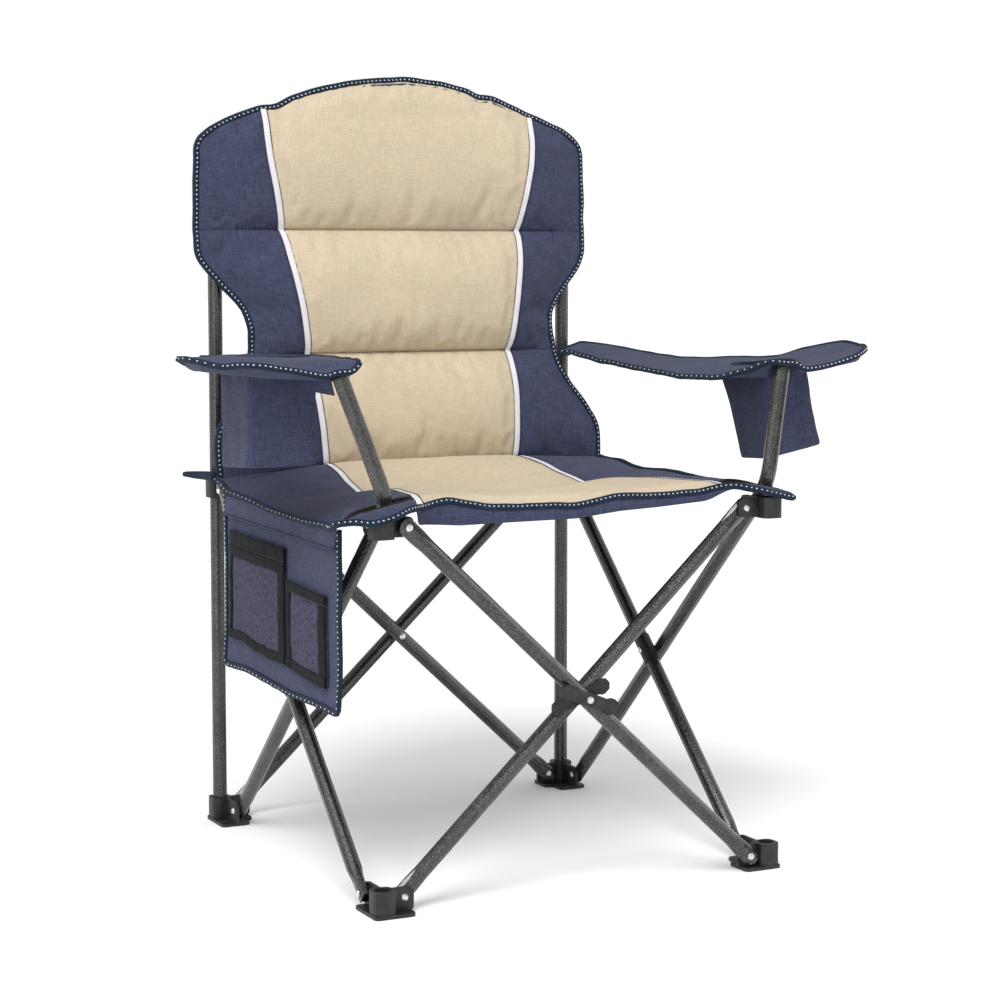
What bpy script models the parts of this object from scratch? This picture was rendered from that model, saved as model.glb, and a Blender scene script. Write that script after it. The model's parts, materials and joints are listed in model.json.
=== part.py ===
"""Folding camp chair: a steel tube frame of four scissor pairs with a padded fabric seat, back and arms.

Frame of reference: +X to the left arm of someone facing the chair's front, +Y to the back, +Z up, metres.
The origin is on the floor, under the middle of the frame. The front faces -Y.

Each side of the square frame is a scissor pair. At every corner one tube runs in an outer plane and the
other in an inner plane, so that the pairs pass each other. Four feet stand at the corners, the back posts
rise from the rear feet, sliders ride on the posts, and brackets join the tubes at the front top corners.
"""

import math

import bmesh
import bpy
from mathutils import Matrix, Vector

# ---- driving dimensions -------------------------------------------------------------------------------
GAP = 0.0003                # left between pieces that touch
TUBE_R = 0.010              # all tubes, outside radius
TUBE_WALL = 0.0012
TUBE_SIDES = 12
FLAT_THIN = 0.65            # a pressed tube end: thickness and width as shares of the round tube
FLAT_WIDE = 1.15
FLAT_LENGTH = 0.018
FLAT_FADE = 0.018

PIVOT = 0.244               # half the distance between the end pivots of a scissor pair, both ways
PIVOT_LOW = 0.0200          # height of the foot pivots
PIVOT_HIGH = 0.476          # height of the bracket and slider pivots
PIVOT_MID = (PIVOT_LOW + PIVOT_HIGH) / 2
CORNER_X = 0.275            # corner mouldings' sleeve axes
CORNER_Y = 0.288
OUTER_PLANE = 0.007         # tube planes, measured outward from the sleeve axes
INNER_PLANE = -0.015

SLEEVE_HALF = 0.0145        # corner mouldings: half their sleeve's width, which has rounded corners
SLEEVE_CORNER = 0.010
SLEEVE_BORE = 0.0107
ROUND_SIDES = 16
FOOT_BASE = 0.0045
FOOT_HEIGHT = 0.0335
SOLE_OUT = 0.0155           # the sole, outward of the sleeve axis, and past the pivots towards the middle
SOLE_PAST = 0.008
SOLE_WIDTH = 0.027
COLLAR_HALF = 0.0135        # half the height of a slider or bracket
LUG_THICK = 0.0045
LUG_R = 0.0125

POST_BOTTOM = 0.006
POST_TOP = 0.953

RIVET_R = 0.0026
RIVET_HOLE_R = 0.0034
RIVET_HEAD_R = 0.0050
RIVET_HEAD_H = 0.0022
RIVET_SIDES = 12

ARM_TOP = (0.314, -0.258, 0.6550)       # where the right arm tube ends; the left one mirrors it
ARM_BEND_AHEAD = 0.040                  # along the straight part, past the bracket pivot
ARM_BEND_TANGENT = 0.029
ARM_BEND_STEPS = 6

SEAT_X = 0.300
SEAT_FRONT = -0.270
SEAT_BACK = 0.235
SEAT_LOW = 0.4905
SEAT_HIGH = 0.5065
SEAT_FOLD = 0.0             # the line across the seat where the pad creases
BACK_LOW = 0.5095
BACK_THICK = 0.024
ARMREST_LOW = 0.6640
ARMREST_HIGH = 0.6760
POUCH_AT = (0.357, -0.145)
POUCH_HALF = (0.062, 0.056)
POUCH_LOW = 0.535
POUCH_TOP = 0.6615
POUCH_WALL = 0.003
CUP_HOLE_R = 0.043
PANEL_X = (-0.3035, -0.2995)            # the organizer panel's two faces
PANEL_Y = (-0.220, 0.172)
PANEL_Z = (0.243, 0.4865)
POCKET_DEEP = 0.008
POCKET_WALL = 0.0014

STEEL = ("frame_steel", (0.075, 0.075, 0.072), 0.45, 0.6)
PLASTIC = ("black_plastic", (0.018, 0.018, 0.018), 0.5, 0.0)
RIVET_METAL = ("rivet_metal", (0.72, 0.72, 0.70), 0.3, 1.0)
TAN = ("tan_fabric", (0.66, 0.56, 0.40), 0.95, 0.0)
NAVY = ("navy_fabric", (0.055, 0.065, 0.145), 0.95, 0.0)
MESH = ("pocket_mesh", (0.05, 0.045, 0.09), 0.9, 0.0)

AXIS_X, AXIS_Y, AXIS_Z = Vector((1, 0, 0)), Vector((0, 1, 0)), Vector((0, 0, 1))


# ---- tools for making one object ----------------------------------------------------------------------
def clear_scene():
    for obj in list(bpy.data.objects):
        bpy.data.objects.remove(obj, do_unlink=True)


def material(spec):
    name, colour, roughness, metallic = spec
    found = bpy.data.materials.get(name)
    if found:
        return found
    made = bpy.data.materials.new(name)
    made.use_nodes = True
    shader = made.node_tree.nodes["Principled BSDF"]
    shader.inputs["Base Color"].default_value = (*colour, 1)
    shader.inputs["Roughness"].default_value = roughness
    shader.inputs["Metallic"].default_value = metallic
    return made


def make_object(name, bm, spec=None, smooth=True):
    bmesh.ops.recalc_face_normals(bm, faces=bm.faces)
    mesh = bpy.data.meshes.new(name)
    bm.to_mesh(mesh)
    bm.free()
    obj = bpy.data.objects.new(name, mesh)
    bpy.context.scene.collection.objects.link(obj)
    if spec:
        mesh.materials.append(material(spec))
    if smooth:
        mesh.shade_smooth()
        mesh.set_sharp_from_angle(angle=math.radians(35))
    return obj


def boolean(target, tool, operation):
    """Joins or cuts with a hidden helper object."""
    tool.hide_render = True
    tool.display_type = "WIRE"
    modifier = target.modifiers.new(tool.name, "BOOLEAN")
    modifier.operation = operation
    modifier.solver = "EXACT"
    modifier.object = tool


def basis(axis, across=AXIS_Z):
    """Rotation that takes +Z to axis, and +X as near as it can to across."""
    z = Vector(axis).normalized()
    x = Vector(across) - z * Vector(across).dot(z)
    if x.length < 1e-6:
        x = z.orthogonal()
    x.normalize()
    return Matrix((x, z.cross(x), z)).transposed().to_4x4()


def lathe(profile, sides, place):
    """A closed turned solid. profile is (radius, height) from its bottom pole to its top pole."""
    bm = bmesh.new()
    rings = []
    for radius, height in profile:
        if radius == 0:
            rings.append([bm.verts.new(place @ Vector((0, 0, height)))])
            continue
        ring = []
        for k in range(sides):
            turn = 2 * math.pi * k / sides
            point = Vector((radius * math.cos(turn), radius * math.sin(turn), height))
            ring.append(bm.verts.new(place @ point))
        rings.append(ring)
    for low, high in zip(rings, rings[1:]):
        for k in range(sides):
            corners = [low[k % len(low)], low[(k + 1) % len(low)], high[(k + 1) % len(high)], high[k % len(high)]]
            unique = list(dict.fromkeys(corners))
            bm.faces.new(unique)
    return bm


def prism(outline, low, high, place=None):
    """A closed solid from an outline in XY, between two heights."""
    bm = bmesh.new()
    bottom = [bm.verts.new((x, y, low)) for x, y in outline]
    top = [bm.verts.new((x, y, high)) for x, y in outline]
    bm.faces.new(bottom)
    bm.faces.new(top)
    count = len(outline)
    for k in range(count):
        after = (k + 1) % count
        bm.faces.new([bottom[k], bottom[after], top[after], top[k]])
    if place:
        bmesh.ops.transform(bm, matrix=place, verts=bm.verts)
    return bm


def rounded(corners, radius, steps=3):
    """An outline with each of its corners replaced by an arc-like curve."""
    points = []
    count = len(corners)
    for k, corner in enumerate(corners):
        here = Vector(corner)
        before = Vector(corners[k - 1]) - here
        after = Vector(corners[(k + 1) % count]) - here
        reach = min(radius, before.length * 0.45, after.length * 0.45)
        start = here + before.normalized() * reach
        end = here + after.normalized() * reach
        for step in range(steps + 1):
            t = step / steps
            point = start * (1 - t) ** 2 + here * 2 * t * (1 - t) + end * t ** 2
            points.append(tuple(point))
    return points


# ---- tubes --------------------------------------------------------------------------------------------
def sweep_tube(name, stations, flat_axis, pivots):
    """A hollow open tube. Each station is (point, tangent, thin, wide, rounding).

    thin and wide scale the section along flat_axis and across it. rounding is -1 or 1 where the end is
    rounded as seen along flat_axis, and 0 elsewhere. pivots are the points drilled along flat_axis.
    """
    bm = bmesh.new()
    outer, inner = [], []
    normal = Vector(flat_axis)
    for point, tangent, thin, wide, rounding in stations:
        normal = (normal - tangent * normal.dot(tangent)).normalized()
        side = tangent.cross(normal)
        for rings, shrink in ((outer, 0), (inner, TUBE_WALL)):
            ring = []
            for k in range(TUBE_SIDES):
                turn = 2 * math.pi * (k + 0.5) / TUBE_SIDES
                along_normal = (TUBE_R * thin - shrink) * math.cos(turn)
                along_side = (TUBE_R * wide - shrink) * math.sin(turn)
                place = point + normal * along_normal + side * along_side
                if rounding:
                    end_r = TUBE_R * wide
                    place += tangent * rounding * math.sqrt(max(end_r ** 2 - along_side ** 2, 0))
                ring.append(bm.verts.new(place))
            rings.append(ring)
    for rings in (outer, inner):
        for first, second in zip(rings, rings[1:]):
            for k in range(TUBE_SIDES):
                after = (k + 1) % TUBE_SIDES
                bm.faces.new([first[k], first[after], second[after], second[k]])
    for end in (0, -1):
        for k in range(TUBE_SIDES):
            after = (k + 1) % TUBE_SIDES
            bm.faces.new([outer[end][k], outer[end][after], inner[end][after], inner[end][k]])
    bmesh.ops.triangulate(bm, faces=bm.faces)
    tube = make_object(name, bm, STEEL)
    for number, pivot in enumerate(pivots):
        drill(tube, pivot, flat_axis, f"{name}_drill_{number}")
    return tube


def drill(target, point, axis, name, radius=RIVET_HOLE_R, reach=0.05):
    place = Matrix.Translation(point) @ basis(axis)
    bm = lathe([(0, -reach), (radius, -reach), (radius, reach), (0, reach)], RIVET_SIDES, place)
    boolean(target, make_object(name, bm), "DIFFERENCE")


def pressed_end(pivot, tangent, direction):
    """Stations of a pressed, rounded end at a pivot. direction is -1 at a tube's start and 1 at its end."""
    end = (pivot, tangent, FLAT_THIN, FLAT_WIDE, direction)
    flat = (pivot - tangent * direction * FLAT_LENGTH, tangent, FLAT_THIN, FLAT_WIDE, 0)
    full = (pivot - tangent * direction * (FLAT_LENGTH + FLAT_FADE), tangent, 1, 1, 0)
    return [end, flat, full] if direction < 0 else [full, flat, end]


def scissor_tube(name, low, high, flat_axis):
    low, high = Vector(low), Vector(high)
    tangent = (high - low).normalized()
    stations = pressed_end(low, tangent, -1) + pressed_end(high, tangent, 1)
    return sweep_tube(name, stations, flat_axis, [low, (low + high) / 2, high])


def arm_tube(name, plane_x, mirror):
    """Runs from a rear foot up through the front bracket, then bends up and outward to the armrest."""
    low = Vector((plane_x, PIVOT, PIVOT_LOW))
    high = Vector((plane_x, -PIVOT, PIVOT_HIGH))
    tangent = (high - low).normalized()
    corner = high + tangent * ARM_BEND_AHEAD
    top = Vector((ARM_TOP[0] * mirror, ARM_TOP[1], ARM_TOP[2]))
    upward = (top - corner).normalized()
    start = corner - tangent * ARM_BEND_TANGENT
    finish = corner + upward * ARM_BEND_TANGENT
    stations = pressed_end(low, tangent, -1)
    for step in range(ARM_BEND_STEPS + 1):
        t = step / ARM_BEND_STEPS
        point = start * (1 - t) ** 2 + corner * 2 * t * (1 - t) + finish * t ** 2
        heading = ((corner - start) * (1 - t) + (finish - corner) * t).normalized()
        stations.append((point, heading, 1, 1, 0))
    stations.append((top, upward, 1, 1, 0))
    sweep_tube(name, stations, AXIS_X, [low, (low + high) / 2, high])
    return top, upward


def make_post(name, side):
    at = Vector((side * CORNER_X, CORNER_Y, 0))
    turn = basis(AXIS_Z, AXIS_X)
    place = Matrix.Translation(at) @ turn
    bm = lathe([(0, POST_BOTTOM), (TUBE_R, POST_BOTTOM), (TUBE_R, POST_TOP), (0, POST_TOP)], ROUND_SIDES, place)
    post = make_object(name, bm, STEEL)
    bore_r = TUBE_R - TUBE_WALL
    reach = 0.01
    bore = lathe(
        [(0, POST_BOTTOM - reach), (bore_r, POST_BOTTOM - reach), (bore_r, POST_TOP + reach), (0, POST_TOP + reach)],
        ROUND_SIDES, place,
    )
    boolean(post, make_object(name + "_bore", bore), "DIFFERENCE")
    return post


def tube_cap(name, top, axis):
    """A plastic plug in a tube's end: a spigot inside it and a domed head over its rim."""
    spigot_r, spigot_length, head_r, head_height = 0.0080, 0.012, 0.0108, 0.0045
    profile = [
        (0, -spigot_length),
        (spigot_r, -spigot_length),
        (spigot_r, GAP),
        (head_r, GAP),
        (head_r, head_height * 0.6),
        (head_r * 0.6, head_height),
        (0, head_height),
    ]
    make_object(name, lathe(profile, TUBE_SIDES, Matrix.Translation(top) @ basis(axis, AXIS_X)), PLASTIC)


# ---- corner mouldings ---------------------------------------------------------------------------------
def lug_faces(outer, round_tube=False):
    """Distances from the sleeve axis, outward, of a lug's two faces beside an outer or an inner tube."""
    half = TUBE_R if round_tube else TUBE_R * FLAT_THIN
    if outer:
        face = OUTER_PLANE - half - GAP
        return face - LUG_THICK, face
    face = INNER_PLANE + half + GAP
    return face, face + LUG_THICK


def lug(corner, side_sign, run_axis, faces, height, top, bottom):
    """An upright ear that runs from the sleeve inward along run_axis to round the pivot's free end."""
    near = CORNER_X if run_axis == "x" else CORNER_Y
    inward_end = near - PIVOT
    outline = rounded(
        [(-inward_end - LUG_R, bottom), (-0.004, bottom), (-0.004, top), (-inward_end - LUG_R, top)], 0.009,
    )
    sign_x, sign_y = side_sign
    if run_axis == "x":
        place = Matrix(((sign_x, 0, 0, corner[0]), (0, 0, sign_y, corner[1]), (0, 1, 0, height), (0, 0, 0, 1)))
    else:
        place = Matrix(((0, 0, sign_x, corner[0]), (sign_y, 0, 0, corner[1]), (0, 1, 0, height), (0, 0, 0, 1)))
    return prism(outline, faces[0], faces[1], place)


def corner_moulding(name, side_sign, height, x_outer, y_round, foot):
    """A foot, slider or bracket: a sleeve with two ears, one for each scissor pair that meets there.

    x_outer is True where the tube along X runs in the outer plane; the tube along Y then runs in the inner.
    """
    sign_x, sign_y = side_sign
    corner = (sign_x * CORNER_X, sign_y * CORNER_Y)
    place = Matrix.Translation((corner[0], corner[1], 0)) @ basis(AXIS_Z, AXIS_X)
    low = 0.001 if foot else height - COLLAR_HALF
    high = FOOT_HEIGHT if foot else height + COLLAR_HALF
    half = SLEEVE_HALF
    square = rounded([(-half, -half), (half, -half), (half, half), (-half, half)], SLEEVE_CORNER)
    body = make_object(name, prism(square, low, high, Matrix.Translation((*corner, 0))), PLASTIC)
    ear_top = high - height - 0.0005 if foot else LUG_R
    ear_low = 0.0015 - height if foot else -LUG_R
    x_faces = lug_faces(x_outer)
    y_faces = lug_faces(not x_outer, y_round)
    for run_axis, faces in (("x", x_faces), ("y", y_faces)):
        ear = lug(corner, side_sign, run_axis, faces, height, ear_top, ear_low)
        boolean(body, make_object(f"{name}_ear_{run_axis}", ear), "UNION")
    if foot:
        boolean(body, make_object(name + "_sole", foot_sole(corner, side_sign)), "UNION")
    bore_low = FOOT_BASE + 0.0004 if foot else low - 0.01
    bore = lathe(
        [(0, bore_low), (SLEEVE_BORE, bore_low), (SLEEVE_BORE, high + 0.01), (0, high + 0.01)], ROUND_SIDES, place,
    )
    boolean(body, make_object(name + "_bore", bore), "DIFFERENCE")
    x_pivot = Vector((sign_x * PIVOT, corner[1] + sign_y * sum(x_faces) / 2, height))
    y_pivot = Vector((corner[0] + sign_x * sum(y_faces) / 2, sign_y * PIVOT, height))
    drill(body, x_pivot, AXIS_Y, name + "_drill_x", reach=0.006)
    drill(body, y_pivot, AXIS_X, name + "_drill_y", reach=0.006)
    return x_pivot, y_pivot


def foot_sole(corner, side_sign):
    """The flat L-shaped sole under a foot, with rounded corners."""
    out, width = SOLE_OUT, SOLE_WIDTH
    end_x, end_y = PIVOT - SOLE_PAST - CORNER_X, PIVOT - SOLE_PAST - CORNER_Y
    outline = [(out, out), (end_x, out), (end_x, -width), (-width, -width), (-width, end_y), (out, end_y)]
    signed = [(corner[0] + side_sign[0] * x, corner[1] + side_sign[1] * y) for x, y in rounded(outline, 0.007)]
    return prism(signed, 0, FOOT_BASE)


def rivet(name, point, axis, start, end):
    """A domed rivet along axis from start to end, measured from point, with a full head at both ends."""
    head = [(RIVET_HEAD_R, 0), (RIVET_HEAD_R * 0.85, 0.6), (RIVET_HEAD_R * 0.45, 1)]
    profile = [(0, start - RIVET_HEAD_H)]
    profile += [(radius, start - share * RIVET_HEAD_H) for radius, share in reversed(head)]
    profile += [(RIVET_R, start), (RIVET_R, end)]
    profile += [(radius, end + share * RIVET_HEAD_H) for radius, share in head]
    profile += [(0, end + RIVET_HEAD_H)]
    place = Matrix.Translation(point) @ basis(axis)
    make_object(name, lathe(profile, RIVET_SIDES, place), RIVET_METAL)


def ear_rivet(name, pivot, axis, sign, faces, outer, round_tube):
    """The rivet of one ear: it spans the ear and the tube beside it."""
    half = TUBE_R if round_tube else TUBE_R * FLAT_THIN
    middle = sum(faces) / 2
    if outer:
        start, end = faces[0] - GAP, OUTER_PLANE + half + GAP
    else:
        start, end = INNER_PLANE - half - GAP, faces[1] + GAP
    rivet(name, pivot, axis * sign, start - middle, end - middle)


def make_corner(name, side_sign, height, x_outer, y_round=False, foot=False):
    x_pivot, y_pivot = corner_moulding(name, side_sign, height, x_outer, y_round, foot)
    ear_rivet(f"{name}_rivet_x", x_pivot, AXIS_Y, side_sign[1], lug_faces(x_outer), x_outer, False)
    ear_rivet(f"{name}_rivet_y", y_pivot, AXIS_X, side_sign[0], lug_faces(not x_outer, y_round), not x_outer, y_round)


# ---- hubs, where two tubes of a pair cross ------------------------------------------------------------
HUB_SLEEVE_HALF = 0.022
HUB_SLEEVE_BORE = 0.0104
HUB_SLEEVE_R = 0.0115
CLIP_HALF = 0.044
CLIP_TILT = math.radians(20)
CLIP_THICK = 0.0045


def clip_outline():
    """A dog-bone outline: a waist round the rivet and a rounded lobe at each end."""
    waist, lobe, lobe_start = 0.0085, 0.0105, 0.024
    half = [(0.012, waist), (lobe_start, waist * 0.9), (lobe_start + 0.006, lobe)]
    for step in range(5):
        turn = math.pi / 2 - math.pi * step / 4
        centre = CLIP_HALF - lobe
        half.append((centre + lobe * math.cos(turn), lobe * math.sin(turn)))
    half += [(x, -y) for x, y in reversed(half[:3])]
    return half + [(-x, -y) for x, y in half]


def hub_clip(name, y_faces, tilt):
    middle = (y_faces[0] + y_faces[1]) / 2
    place = Matrix(((1, 0, 0, 0), (0, 0, -1, 0), (0, 1, 0, PIVOT_MID), (0, 0, 0, 1)))
    turned = place @ Matrix.Rotation(tilt, 4, "Z")
    bm = prism(clip_outline(), -y_faces[1], -y_faces[0], turned)
    clip = make_object(name, bm, PLASTIC)
    drill(clip, Vector((0, middle, PIVOT_MID)), AXIS_Y, name + "_drill", reach=0.02)


def hub_sleeve(name, plane_x, tangent):
    """A plastic sleeve round the brace, where the arm tube crosses it."""
    centre = Vector((plane_x, 0, PIVOT_MID))
    normal = AXIS_X
    place = Matrix.Translation(centre) @ basis(tangent, normal) @ Matrix.Rotation(math.pi / TUBE_SIDES, 4, "Z")
    half = HUB_SLEEVE_HALF
    body = make_object(name, lathe([(0, -half), (HUB_SLEEVE_R, -half), (HUB_SLEEVE_R, half), (0, half)],
                                   TUBE_SIDES, place), PLASTIC)
    bore = lathe([(0, -2 * half), (HUB_SLEEVE_BORE, -2 * half), (HUB_SLEEVE_BORE, 2 * half), (0, 2 * half)],
                 TUBE_SIDES, place)
    boolean(body, make_object(name + "_bore", bore), "DIFFERENCE")
    drill(body, centre, AXIS_X, name + "_drill")


# ---- soft pieces --------------------------------------------------------------------------------------
def back_depth(z):
    """Middle plane of the back pad: upright at the posts' tops and brought forward towards the seat."""
    upright, forward, level, rise = 0.2645, 0.052, 0.85, 0.35
    low = max(level - z, 0) / rise
    return upright - forward * low ** 1.3


BACK_OUTLINE = [        # (half width, height), from the seat up: full, waisted at elbow height, then full again
    (0.250, BACK_LOW), (0.296, 0.520), (0.292, 0.552), (0.262, 0.605), (0.240, 0.655), (0.236, 0.700),
    (0.252, 0.738), (0.290, 0.778), (0.304, 0.815), (0.305, 0.900), (0.298, 0.965), (0.262, 0.987),
    (0.212, 1.008), (0.140, 1.033), (0.070, 1.047), (0.0, 1.051),
]


def make_back_pad():
    right = [(w, z) for w, z in BACK_OUTLINE]
    left = [(-w, z) for w, z in reversed(BACK_OUTLINE[:-1])]
    place = Matrix(((1, 0, 0, 0), (0, 0, -1, 0), (0, 1, 0, 0), (0, 0, 0, 1)))
    bm = prism(right + left, -BACK_THICK / 2, BACK_THICK / 2, place)
    for height in [0.56, 0.62, 0.68, 0.74, 0.80, 0.86]:
        cut = bm.verts[:] + bm.edges[:] + bm.faces[:]
        bmesh.ops.bisect_plane(bm, geom=cut, plane_co=(0, 0, height), plane_no=(0, 0, 1))
    for vert in bm.verts:
        vert.co.y += back_depth(vert.co.z)
    bmesh.ops.triangulate(bm, faces=bm.faces)
    make_object("back_pad", bm, TAN, smooth=False)


def make_seat():
    arm_slot_x, arm_slot_y = 0.243, -0.214
    inset = 0.0006
    front = [
        (-arm_slot_x, SEAT_FRONT), (arm_slot_x, SEAT_FRONT), (arm_slot_x, arm_slot_y), (SEAT_X, arm_slot_y),
        (SEAT_X, SEAT_FOLD - inset), (-SEAT_X, SEAT_FOLD - inset), (-SEAT_X, arm_slot_y),
        (-arm_slot_x, arm_slot_y),
    ]
    rear = [
        (-SEAT_X, SEAT_FOLD + inset), (SEAT_X, SEAT_FOLD + inset), (SEAT_X, SEAT_BACK - 0.03),
        (SEAT_X - 0.03, SEAT_BACK), (-SEAT_X + 0.03, SEAT_BACK), (-SEAT_X, SEAT_BACK - 0.03),
    ]
    make_object("seat_front_pad", prism(front, SEAT_LOW, SEAT_HIGH), TAN, smooth=False)
    make_object("seat_rear_pad", prism(rear, SEAT_LOW, SEAT_HIGH), TAN, smooth=False)


ARMREST_OUTLINE = [     # right armrest in plan: a strap at the post that widens into a wing at the front
    (0.250, 0.2755), (0.258, 0.150), (0.262, -0.050), (0.262, -0.245), (0.285, -0.272), (0.350, -0.276),
    (0.430, -0.268), (0.478, -0.252), (0.497, -0.228), (0.493, -0.196), (0.455, -0.120), (0.400, -0.030),
    (0.350, 0.070), (0.318, 0.170), (0.305, 0.2755),
]


def make_armrest(name, side):
    outline = [(side * x, y) for x, y in ARMREST_OUTLINE]
    pad = make_object(name, prism(outline, ARMREST_LOW, ARMREST_HIGH), NAVY, smooth=False)
    at = Matrix.Translation((side * POUCH_AT[0], POUCH_AT[1], (ARMREST_LOW + ARMREST_HIGH) / 2))
    hole = lathe([(0, -0.02), (CUP_HOLE_R, -0.02), (CUP_HOLE_R, 0.02), (0, 0.02)], 20, at)
    boolean(pad, make_object(name + "_cup_hole", hole), "DIFFERENCE")


def make_pouch(name, side):
    """An open bag under the armrest's wing, with its mouth at the hole in the wing."""
    x, y = side * POUCH_AT[0], POUCH_AT[1]

    def box(half_x, half_y, low, high):
        corners = [(x - half_x, y - half_y), (x + half_x, y - half_y), (x + half_x, y + half_y), (x - half_x, y + half_y)]
        return prism(rounded(corners, 0.018), low, high)

    bag = make_object(name, box(*POUCH_HALF, POUCH_LOW, POUCH_TOP), NAVY, smooth=False)
    inside = [half - POUCH_WALL for half in POUCH_HALF]
    boolean(bag, make_object(name + "_inside", box(*inside, POUCH_LOW + POUCH_WALL, POUCH_TOP + 0.02)), "DIFFERENCE")


def make_organizer():
    """A panel that hangs from the seat's edge, with two flat net pockets on it."""
    def slab(x_low, x_high, y_range, z_range):
        corners = [(y_range[0], z_range[0]), (y_range[1], z_range[0]), (y_range[1], z_range[1]), (y_range[0], z_range[1])]
        place = Matrix(((0, 0, 1, 0), (1, 0, 0, 0), (0, 1, 0, 0), (0, 0, 0, 1)))
        return prism(corners, x_low, x_high, place)

    make_object("organizer_panel", slab(*PANEL_X, PANEL_Y, PANEL_Z), NAVY, smooth=False)
    back = PANEL_X[0] - GAP
    pockets = {
        "organizer_pocket_large": ((-0.054, 0.158), (0.278, 0.430)),
        "organizer_pocket_small": ((-0.192, -0.060), (0.268, 0.387)),
    }
    for name, (y_range, z_range) in pockets.items():
        pocket = make_object(name, slab(back - POCKET_DEEP, back, y_range, z_range), MESH, smooth=False)
        wall = POCKET_WALL
        hollow = slab(back - POCKET_DEEP + wall, back + 0.002, (y_range[0] + wall, y_range[1] - wall),
                      (z_range[0] + wall, z_range[1] + 0.01))
        boolean(pocket, make_object(name + "_hollow", hollow), "DIFFERENCE")


# ---- the chair ----------------------------------------------------------------------------------------
def plane(corner, outer):
    return corner + (OUTER_PLANE if outer else INNER_PLANE)


def make_frame():
    front_y, back_y = plane(CORNER_Y, True), plane(CORNER_Y, False)
    low, high = PIVOT_LOW, PIVOT_HIGH
    # pairs across the width: at the front and at the back
    scissor_tube("front_cross_tube_outer", (PIVOT, -front_y, low), (-PIVOT, -front_y, high), AXIS_Y)
    scissor_tube("front_cross_tube_inner", (-PIVOT, -back_y, low), (PIVOT, -back_y, high), AXIS_Y)
    scissor_tube("back_cross_tube_outer", (-PIVOT, front_y, low), (PIVOT, front_y, high), AXIS_Y)
    scissor_tube("back_cross_tube_inner", (PIVOT, back_y, low), (-PIVOT, back_y, high), AXIS_Y)
    # pairs along the sides: a brace and an arm tube each
    outer_x, inner_x = plane(CORNER_X, True), plane(CORNER_X, False)
    scissor_tube("left_brace_tube", (-outer_x, -PIVOT, low), (-outer_x, PIVOT, high), AXIS_X)
    scissor_tube("right_brace_tube", (inner_x, -PIVOT, low), (inner_x, PIVOT, high), AXIS_X)
    for name, side, plane_x in (("left", -1, -inner_x), ("right", 1, outer_x)):
        top, upward = arm_tube(f"{name}_arm_tube", plane_x, side)
        tube_cap(f"{name}_arm_cap", top, upward)
        make_post(f"rear_{name}_post", side)
        tube_cap(f"rear_{name}_post_cap", Vector((side * CORNER_X, CORNER_Y, POST_TOP)), AXIS_Z)
    # corner mouldings
    make_corner("front_left_foot", (-1, -1), low, x_outer=False, foot=True)
    make_corner("front_right_foot", (1, -1), low, x_outer=True, foot=True)
    make_corner("rear_right_foot", (1, 1), low, x_outer=False, foot=True)
    make_corner("rear_left_foot", (-1, 1), low, x_outer=True, foot=True)
    make_corner("front_left_bracket", (-1, -1), high, x_outer=True, y_round=True)
    make_corner("front_right_bracket", (1, -1), high, x_outer=False, y_round=True)
    make_corner("rear_right_slider", (1, 1), high, x_outer=True)
    make_corner("rear_left_slider", (-1, 1), high, x_outer=False)


def make_hubs():
    front_outer, front_inner = -plane(CORNER_Y, True), -plane(CORNER_Y, False)
    clip_back = front_outer - TUBE_R - GAP
    hub_clip("front_hub_clip_outer", (clip_back - CLIP_THICK, clip_back), -CLIP_TILT)
    between = (front_outer + TUBE_R + GAP, front_inner - TUBE_R - GAP)
    hub_clip("front_hub_clip_inner", between, CLIP_TILT)
    outer_x, inner_x = plane(CORNER_X, True), plane(CORNER_X, False)
    rise, run = PIVOT_HIGH - PIVOT_LOW, 2 * PIVOT
    hub_sleeve("left_hub_sleeve", -outer_x, Vector((0, run, rise)))
    hub_sleeve("right_hub_sleeve", inner_x, Vector((0, run, rise)))
    reach, sleeve_reach = TUBE_R + GAP, HUB_SLEEVE_R + GAP
    centre = Vector((0, 0, PIVOT_MID))
    rivet("front_hub_rivet", centre, AXIS_Y, clip_back - CLIP_THICK - GAP, front_inner + reach)
    rivet("back_hub_rivet", centre, AXIS_Y, -front_inner - reach, -front_outer + reach)
    rivet("left_hub_rivet", centre, AXIS_X, -outer_x - sleeve_reach, -inner_x + reach)
    rivet("right_hub_rivet", centre, AXIS_X, inner_x - sleeve_reach, outer_x + reach)


def make_fabric():
    make_back_pad()
    make_seat()
    for name, side in (("left", -1), ("right", 1)):
        make_armrest(f"{name}_armrest", side)
        make_pouch(f"{name}_pouch", side)
    make_organizer()


clear_scene()
make_frame()
make_hubs()
make_fabric()
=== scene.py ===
"""Folding camp chair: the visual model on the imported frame. Metres, +X to the right, +Y back, +Z up."""

import json
import math
import random

import bpy
import numpy as np
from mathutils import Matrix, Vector, noise


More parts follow.
